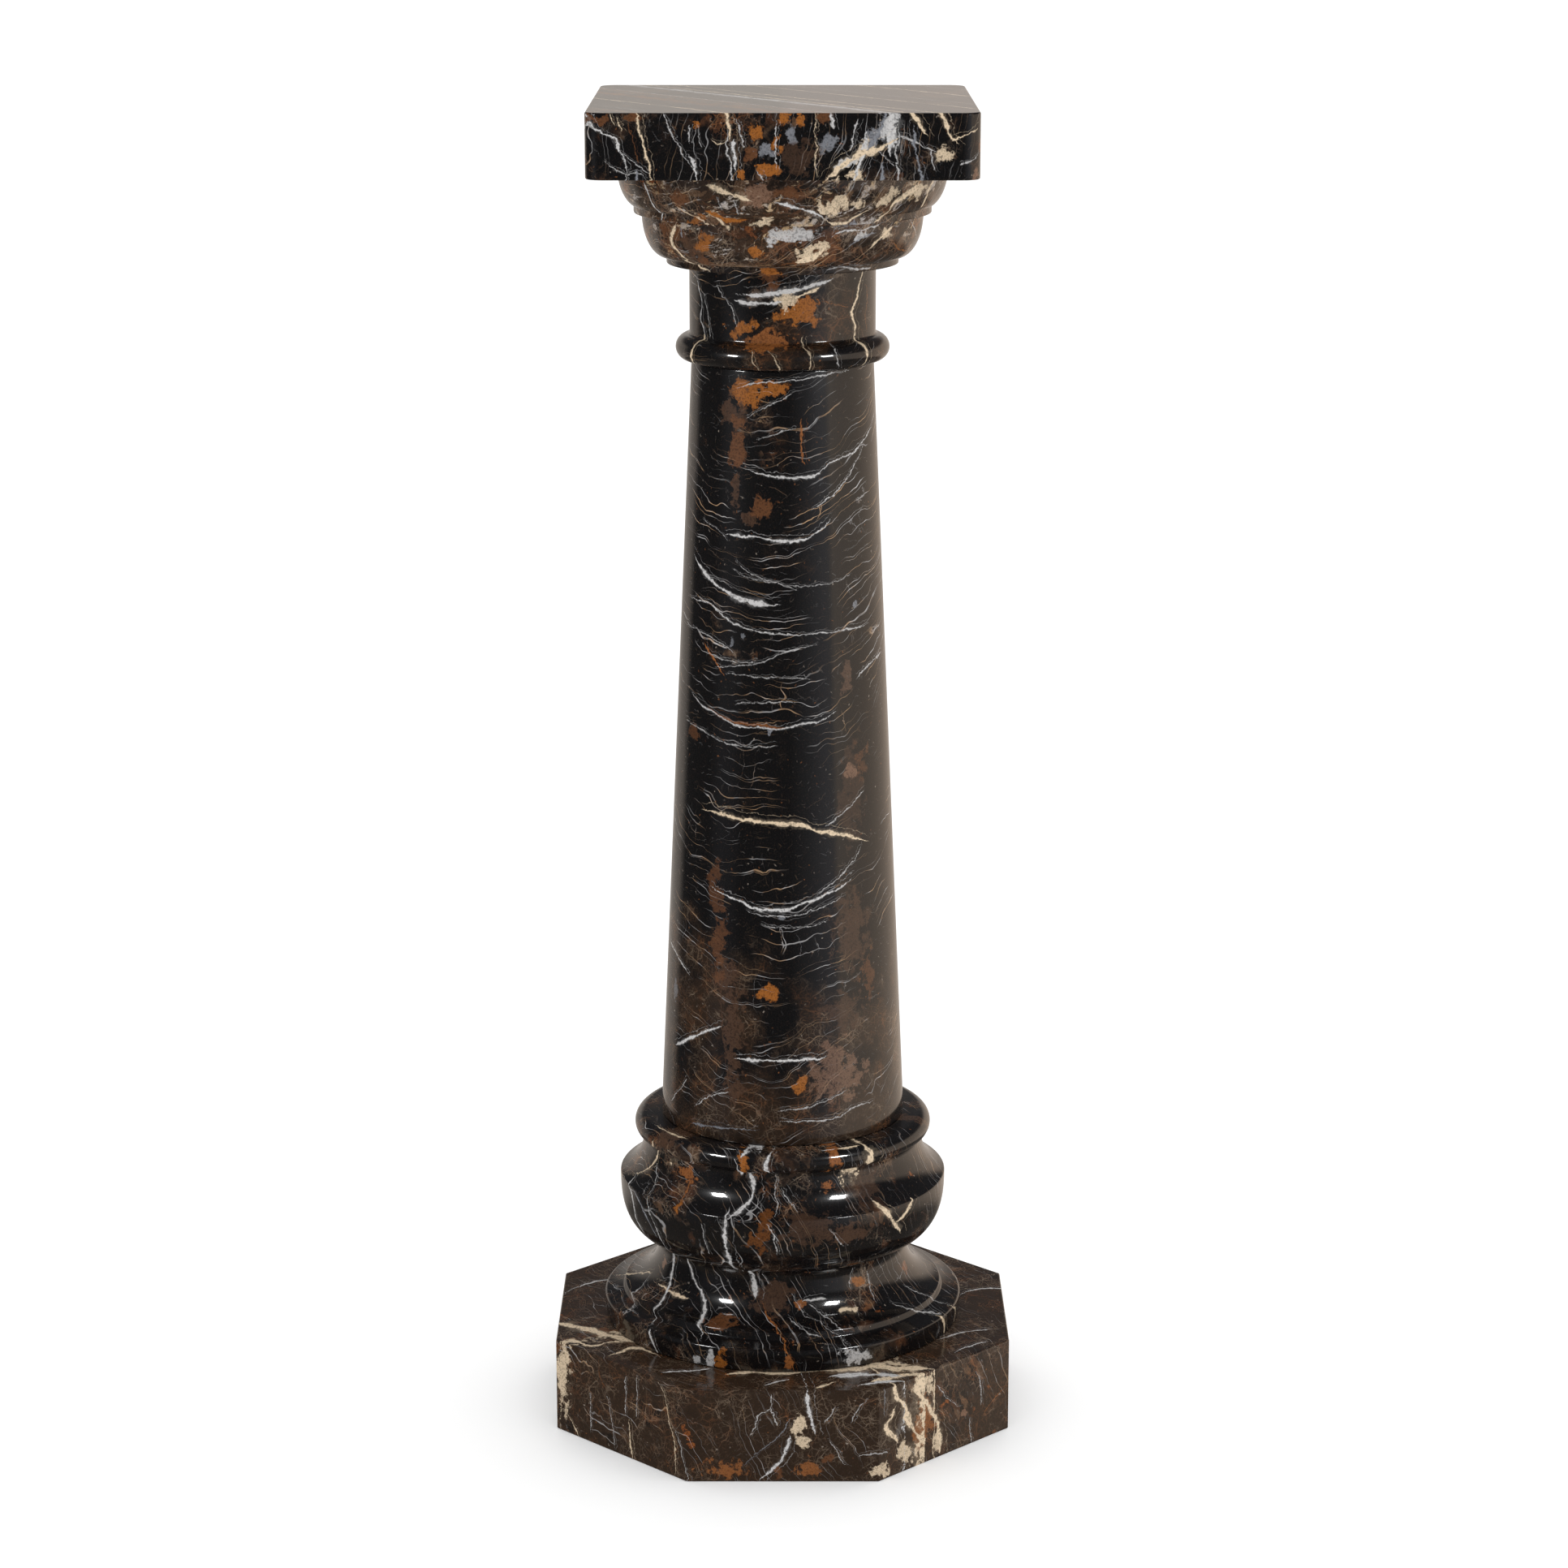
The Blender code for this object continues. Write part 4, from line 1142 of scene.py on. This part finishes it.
offset_up = math.sqrt((ASTRAGAL_ROUND + ASTRAGAL_HOLLOW) ** 2 - offset_across ** 2)
touch = math.degrees(math.atan2(offset_up, offset_across))
capital_profile += arc(hollow_radius, astragal_height + offset_up, ASTRAGAL_HOLLOW, ASTRAGAL_HOLLOW,
                       180, 180 + touch, SMALL_HOLLOW_STEPS)
capital_profile += arc(ASTRAGAL_CENTRE_RADIUS, astragal_height, ASTRAGAL_ROUND, ASTRAGAL_ROUND,
                       touch, -90, ASTRAGAL_STEPS)[1:]
capital_marble = Marble("capital_marble", (0.6, 0.9, 2.4), (-0.45, -0.35, 0.82),
                        brown=(*NECK_FADE, 0.35, 0.75), shatter=(*NECK_FADE, 0.35, 1.0),
                        threads=(*NECK_FADE, 0.7, 1.0), rust=(*NECK_FADE, 0.1, 0.55),
                        cream=(*NECK_FADE, 0.0, 0.72))
patch, vein = capital_marble.patch, capital_marble.vein
patch(PINK, (-8, 1029), (11, 8))
patch(RUST, (-38, 1023), (6, 8))
patch(BROWN, (-43, 1030), (5, 3))
patch(RUST, (-56, 996), (5, 6))
patch(BROWN, (-41, 984), (11, 9))
patch(RUST, (1, 1028), (14, 5))
patch(RUST, (-36, 972), (6, 5))
patch(RUST, (-46, 993), (9, 8))
patch(AMBER, (-34, 1005), (9, 4), strength=0.7)
patch(AMBER, (-33, 986), (7, 6), strength=0.8)
patch(WHITE, (-2, 994), (9, 5), lean=15)
patch(GREY, (25, 1003), (9, 4), lean=25)
patch(WHITE, (34, 993), (8, 3), lean=30)
patch(CREAM, (12, 982), (9, 6), lean=20)
patch(CREAM, (39, 1024), (11, 6), lean=25)
patch(RUST, (7, 973), (14, 3))
patch(AMBER, (-11, 982), (5, 4))
patch(AMBER, (-7, 965), (8, 4))
patch(CREAM, (-8, 1006), (8, 4))
patch(CREAM, (18, 1019), (10, 7))
patch(CREAM, (27, 1019), (6, 4))
patch(CREAM, (53, 1026), (14, 4))
patch(WHITE, (5, 996), (14, 5))
patch(CREAM, (14, 983), (9, 6))
patch(CREAM, (46, 994), (6, 4))
vein(WHITE, 2.4, (-56, 1034), (-54, 1025), (-53, 1013), (-52, 1008), (-55, 1000))
vein(CREAM, 6.0, (-27, 1034), (-21, 1030), (-18, 1028), (-15, 1026), (-10, 1022))
vein(WHITE, 1.0, (-23, 1026), (-22, 1015))
vein(WHITE, 1.0, (-17, 1024), (-16, 1011))
vein(AMBER, 5.0, (-29, 1015), (-24, 1010), (-21, 1007), (-13, 1007))
vein(CREAM, 1.8, (-42, 1016), (-36, 1010), (-32, 1006), (-27, 1000))
vein(CREAM, 3.2, (-27, 1011), (-23, 1004), (-22, 998))
vein(CREAM, 5.0, (-47, 1003), (-50, 993), (-52, 986), (-49, 978), (-46, 970))
vein(CREAM, 2.6, (-50, 973), (-45, 968), (-38, 962))
vein(GREY, 2.6, (-45, 1000), (-45, 990))
vein(WHITE, 3.4, (-3, 1022), (3, 1020), (7, 1017), (11, 1013), (16, 1008))
vein(CREAM, 5.0, (66, 1034), (61, 1022), (62, 1010))
vein(CREAM, 8.0, (56, 1032), (49, 1025), (45, 1022), (42, 1016), (41, 1010), (36, 1002))
vein(CREAM, 6.0, (18, 989), (14, 979), (10, 976), (5, 974))
vein(CREAM, 4.0, (51, 999), (43, 990), (38, 982))
vein(AMBER, 1.0, (51, 988), (62, 977), (70, 976))
vein(WHITE, 1.0, (60, 1005), (69, 993), (75, 984))
vein(CREAM, 2.4, (15, 1010), (22, 1004), (27, 1008), (33, 1016))
vein(WHITE, 2.4, (19, 990), (26, 998), (34, 998), (43, 1002))
vein(WHITE, 2.0, (21, 966), (30, 967), (39, 965), (49, 966))
vein(GREY, 2.0, (27, 984), (34, 992), (41, 995))
patch(RUST, (-8, 958), (9, 9))
patch(AMBER, (9, 931), (16, 8))
patch(AMBER, (-27, 917), (15, 7), lean=24)
patch(ORANGE, (-10, 909), (18, 8))
patch(AMBER, (19, 928), (6, 11))
patch(CREAM, (2, 940), (9, 7))
vein(WHITE, 5.0, (-25, 945), (-15, 944), (-9, 946), (-2, 947), (11, 950), (17, 952), (33, 957))
vein(WHITE, 3.6, (-31, 940), (-19, 938), (-11, 938), (0, 941))
vein(CREAM, 4.6, (5, 941), (15, 946), (24, 952))
vein(WHITE, 1.5, (-66, 957), (-62, 944), (-59, 934), (-60, 923), (-57, 916), (-55, 906))
vein(CREAM, 2.6, (-56, 911), (-56, 903), (-57, 896), (-60, 886))
vein(WHITE, 0.8, (-57, 944), (-54, 933), (-52, 923), (-50, 907))
vein(CREAM, 3.8, (62, 962), (56, 955), (53, 944), (49, 934), (47, 928), (50, 919), (49, 903))
vein(CREAM, 5.6, (49, 909), (50, 903), (51, 897), (51, 884))
vein(WHITE, 1.1, (-44, 953), (-40, 944), (-34, 937), (-29, 918))
vein(CREAM, 1.2, (13, 914), (12, 907), (14, 900), (15, 885))
vein(CREAM, 0.9, (-17, 903), (-16, 894), (-12, 885))
vein(CREAM, 0.9, (-10, 903), (-4, 896), (-2, 885))
vein(ORANGE, 0.9, (24, 940), (35, 936), (44, 933))
vein(ORANGE, 0.9, (60, 950), (64, 936), (61, 923), (67, 910))
vein(WHITE, 0.9, (29, 907), (30, 895), (33, 886))
# The sides and the back, in keeping with the front.
vein(CREAM, 6.0, (94, 1034), (108, 1012), (122, 990), (128, 964))
vein(WHITE, 4.0, (150, 960), (156, 938), (152, 912), (160, 886))
vein(CREAM, 4.0, (-96, 1034), (-112, 1008), (-118, 984))
vein(WHITE, 3.0, (-170, 950), (-140, 936), (-112, 944), (-90, 934))
patch(AMBER, (112, 920), (16, 14))
patch(CREAM, (-150, 1006), (14, 8))
patch(RUST, (162, 1000), (16, 12))
capital_material = capital_marble.finish()
capital_mesh = turned_stone("capital_stone", capital_profile, capital_material)
set_stone("capital_stone", capital_mesh, capital_material, "capital")


# The top slab is sawn square, with rounded upright corners and eased edges, from the
# blackest marble of the five. It lies on the capital by its own weight.
slab_low, slab_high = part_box("top_slab")
SLAB_SIDE = slab_high[0] - slab_low[0]
SLAB_CORNER_RADIUS = 0.014
SLAB_CORNER_STEPS = 12
SLAB_ARRIS = 0.0014

slab_outline = []
reach = SLAB_SIDE / 2 - SLAB_CORNER_RADIUS
for quarter in range(4):
    start = math.pi / 2 * quarter
    centre_x = math.copysign(reach, math.cos(start + math.pi / 4))
    centre_y = math.copysign(reach, math.sin(start + math.pi / 4))
    for step in range(SLAB_CORNER_STEPS + 1):
        angle = start + math.pi / 2 * step / SLAB_CORNER_STEPS
        slab_outline.append((centre_x + SLAB_CORNER_RADIUS * math.cos(angle),
                             centre_y + SLAB_CORNER_RADIUS * math.sin(angle)))
slab_mesh = sawn_slab("top_slab_stone", slab_outline, SLAB_UNDERSIDE, slab_high[2], SLAB_ARRIS)
slab_marble = Marble("top_slab_marble", (2.6, 0.3, 0.9), (0.90, 0.40, -0.18), brown=0.05, shatter=0.6,
                     threads=0.6, rust=0.3, cream=0.1, sheet_lean=0.7)
patch, vein = slab_marble.patch, slab_marble.vein
patch(RUST, (-137, 1089), (7, 3))
patch(RUST, (-114, 1088), (7, 4))
patch(AMBER, (-64, 1083), (3, 3))
patch(AMBER, (-22, 1077), (6, 8))
patch(RUST, (-24, 1060), (5, 6))
patch(GREY, (-12, 1062), (6, 7))
patch(AMBER, (-12, 1049), (8, 4))
patch(AMBER, (-32, 1046), (3, 4))
patch(AMBER, (-3, 1068), (3, 7))
patch(AMBER, (2, 1088), (4, 6))
patch(AMBER, (14, 1086), (4, 5))
patch(GREY, (8, 1077), (5, 7))
patch(BROWN, (12, 1058), (14, 12), strength=0.6)
patch(RUST, (32, 1089), (6, 4))
patch(GREY, (34, 1069), (7, 7))
patch(WHITE, (79, 1083), (11, 5), lean=62)
patch(GREY, (72, 1073), (11, 5), lean=55)
patch(CREAM, (65, 1064), (9, 5), lean=45)
patch(WHITE, (47, 1053), (10, 4), lean=40)
patch(CREAM, (55, 1045), (6, 5))
patch(CREAM, (36, 1042), (7, 2.5))
patch(CREAM, (122, 1061), (6, 5))
patch(PINK, (148, 1044), (4, 6))
vein(WHITE, 2.6, (-146, 1093), (-143, 1082), (-139, 1078), (-131, 1074), (-126, 1070), (-123, 1060))
vein(CREAM, 2.2, (-110, 1096), (-108, 1080), (-105, 1070), (-103, 1060), (-100, 1048), (-100, 1034))
vein(WHITE, 1.4, (-92, 1098), (-86, 1082), (-84, 1076), (-79, 1068), (-75, 1060), (-66, 1049))
vein(CREAM, 4.4, (-43, 1100), (-41, 1085), (-40, 1079), (-42, 1071))
vein(WHITE, 1.6, (-42, 1080), (-42, 1064), (-40, 1051), (-37, 1034))
vein(WHITE, 3.6, (-37, 1073), (-37, 1060), (-36, 1048))
vein(WHITE, 1.2, (-35, 1087), (-32, 1077), (-30, 1066))
vein(WHITE, 1.4, (-123, 1065), (-120, 1055), (-118, 1048), (-117, 1034))
vein(WHITE, 1.2, (-135, 1056), (-129, 1050), (-119, 1046), (-111, 1046), (-102, 1040))
vein(WHITE, 1.0, (-122, 1062), (-116, 1056), (-109, 1051), (-100, 1045))
vein(GREY, 3.2, (-112, 1049), (-110, 1043), (-109, 1034))
vein(WHITE, 2.8, (-72, 1061), (-68, 1055), (-66, 1048), (-66, 1034))
vein(WHITE, 1.3, (-65, 1083), (-63, 1075), (-61, 1066))
vein(WHITE, 1.2, (-71, 1083), (-70, 1069))
vein(WHITE, 1.6, (-5, 1086), (-5, 1070), (-5, 1060), (-4, 1048))
vein(CREAM, 1.8, (-130, 1092), (-127, 1081))
vein(CREAM, 1.5, (-125, 1089), (-121, 1077))
vein(RUST, 1.2, (-118, 1087), (-113, 1072), (-109, 1052))
vein(CREAM, 1.4, (-54, 1074), (-50, 1069), (-42, 1072))
vein(WHITE, 1.4, (-19, 1049), (-15, 1043), (-12, 1034))
vein(CREAM, 1.4, (25, 1096), (25, 1081), (25, 1072), (26, 1064), (25, 1055), (25, 1042))
vein(WHITE, 2.4, (36, 1094), (38, 1079))
vein(WHITE, 1.6, (57, 1087), (53, 1073), (50, 1062))
vein(WHITE, 13.0, (86, 1106), (82, 1088), (81, 1075), (82, 1058))
vein(GREY, 9.0, (80, 1098), (72, 1076), (62, 1062))
vein(CREAM, 7.0, (88, 1073), (72, 1064), (65, 1063), (57, 1060), (51, 1056), (44, 1051), (26, 1034))
vein(WHITE, 7.0, (64, 1078), (61, 1064), (59, 1056), (56, 1048), (53, 1026))
vein(WHITE, 1.4, (86, 1075), (96, 1072), (102, 1069), (108, 1066), (117, 1063))
vein(WHITE, 1.3, (87, 1085), (88, 1073), (86, 1060), (87, 1050), (90, 1032))
vein(WHITE, 1.7, (73, 1063), (79, 1056), (85, 1051))
vein(GREY, 2.8, (75, 1056), (76, 1046), (76, 1032))
vein(GREY, 2.6, (99, 1083), (100, 1069), (102, 1058), (104, 1048), (110, 1030))
vein(CREAM, 5.0, (92, 1098), (101, 1086), (104, 1081), (110, 1074))
vein(CREAM, 3.8, (116, 1100), (123, 1083), (125, 1077), (134, 1067))
vein(CREAM, 3.2, (127, 1069), (139, 1075), (153, 1080))
vein(WHITE, 1.3, (112, 1066), (113, 1056), (117, 1047))
vein(WHITE, 1.3, (154, 1062), (143, 1055), (134, 1053))
# The sides and the back, in keeping with the front.
vein(CREAM, 3.0, (176, 1104), (180, 1080), (186, 1060), (190, 1030))
vein(WHITE, 1.6, (212, 1100), (206, 1072), (200, 1030))
vein(CREAM, 5.0, (268, 1104), (272, 1076), (282, 1052), (286, 1028))
vein(WHITE, 2.0, (320, 1100), (314, 1066), (318, 1028))
set_stone("top_slab_stone", slab_mesh, slab_marble.finish(), "top_slab")
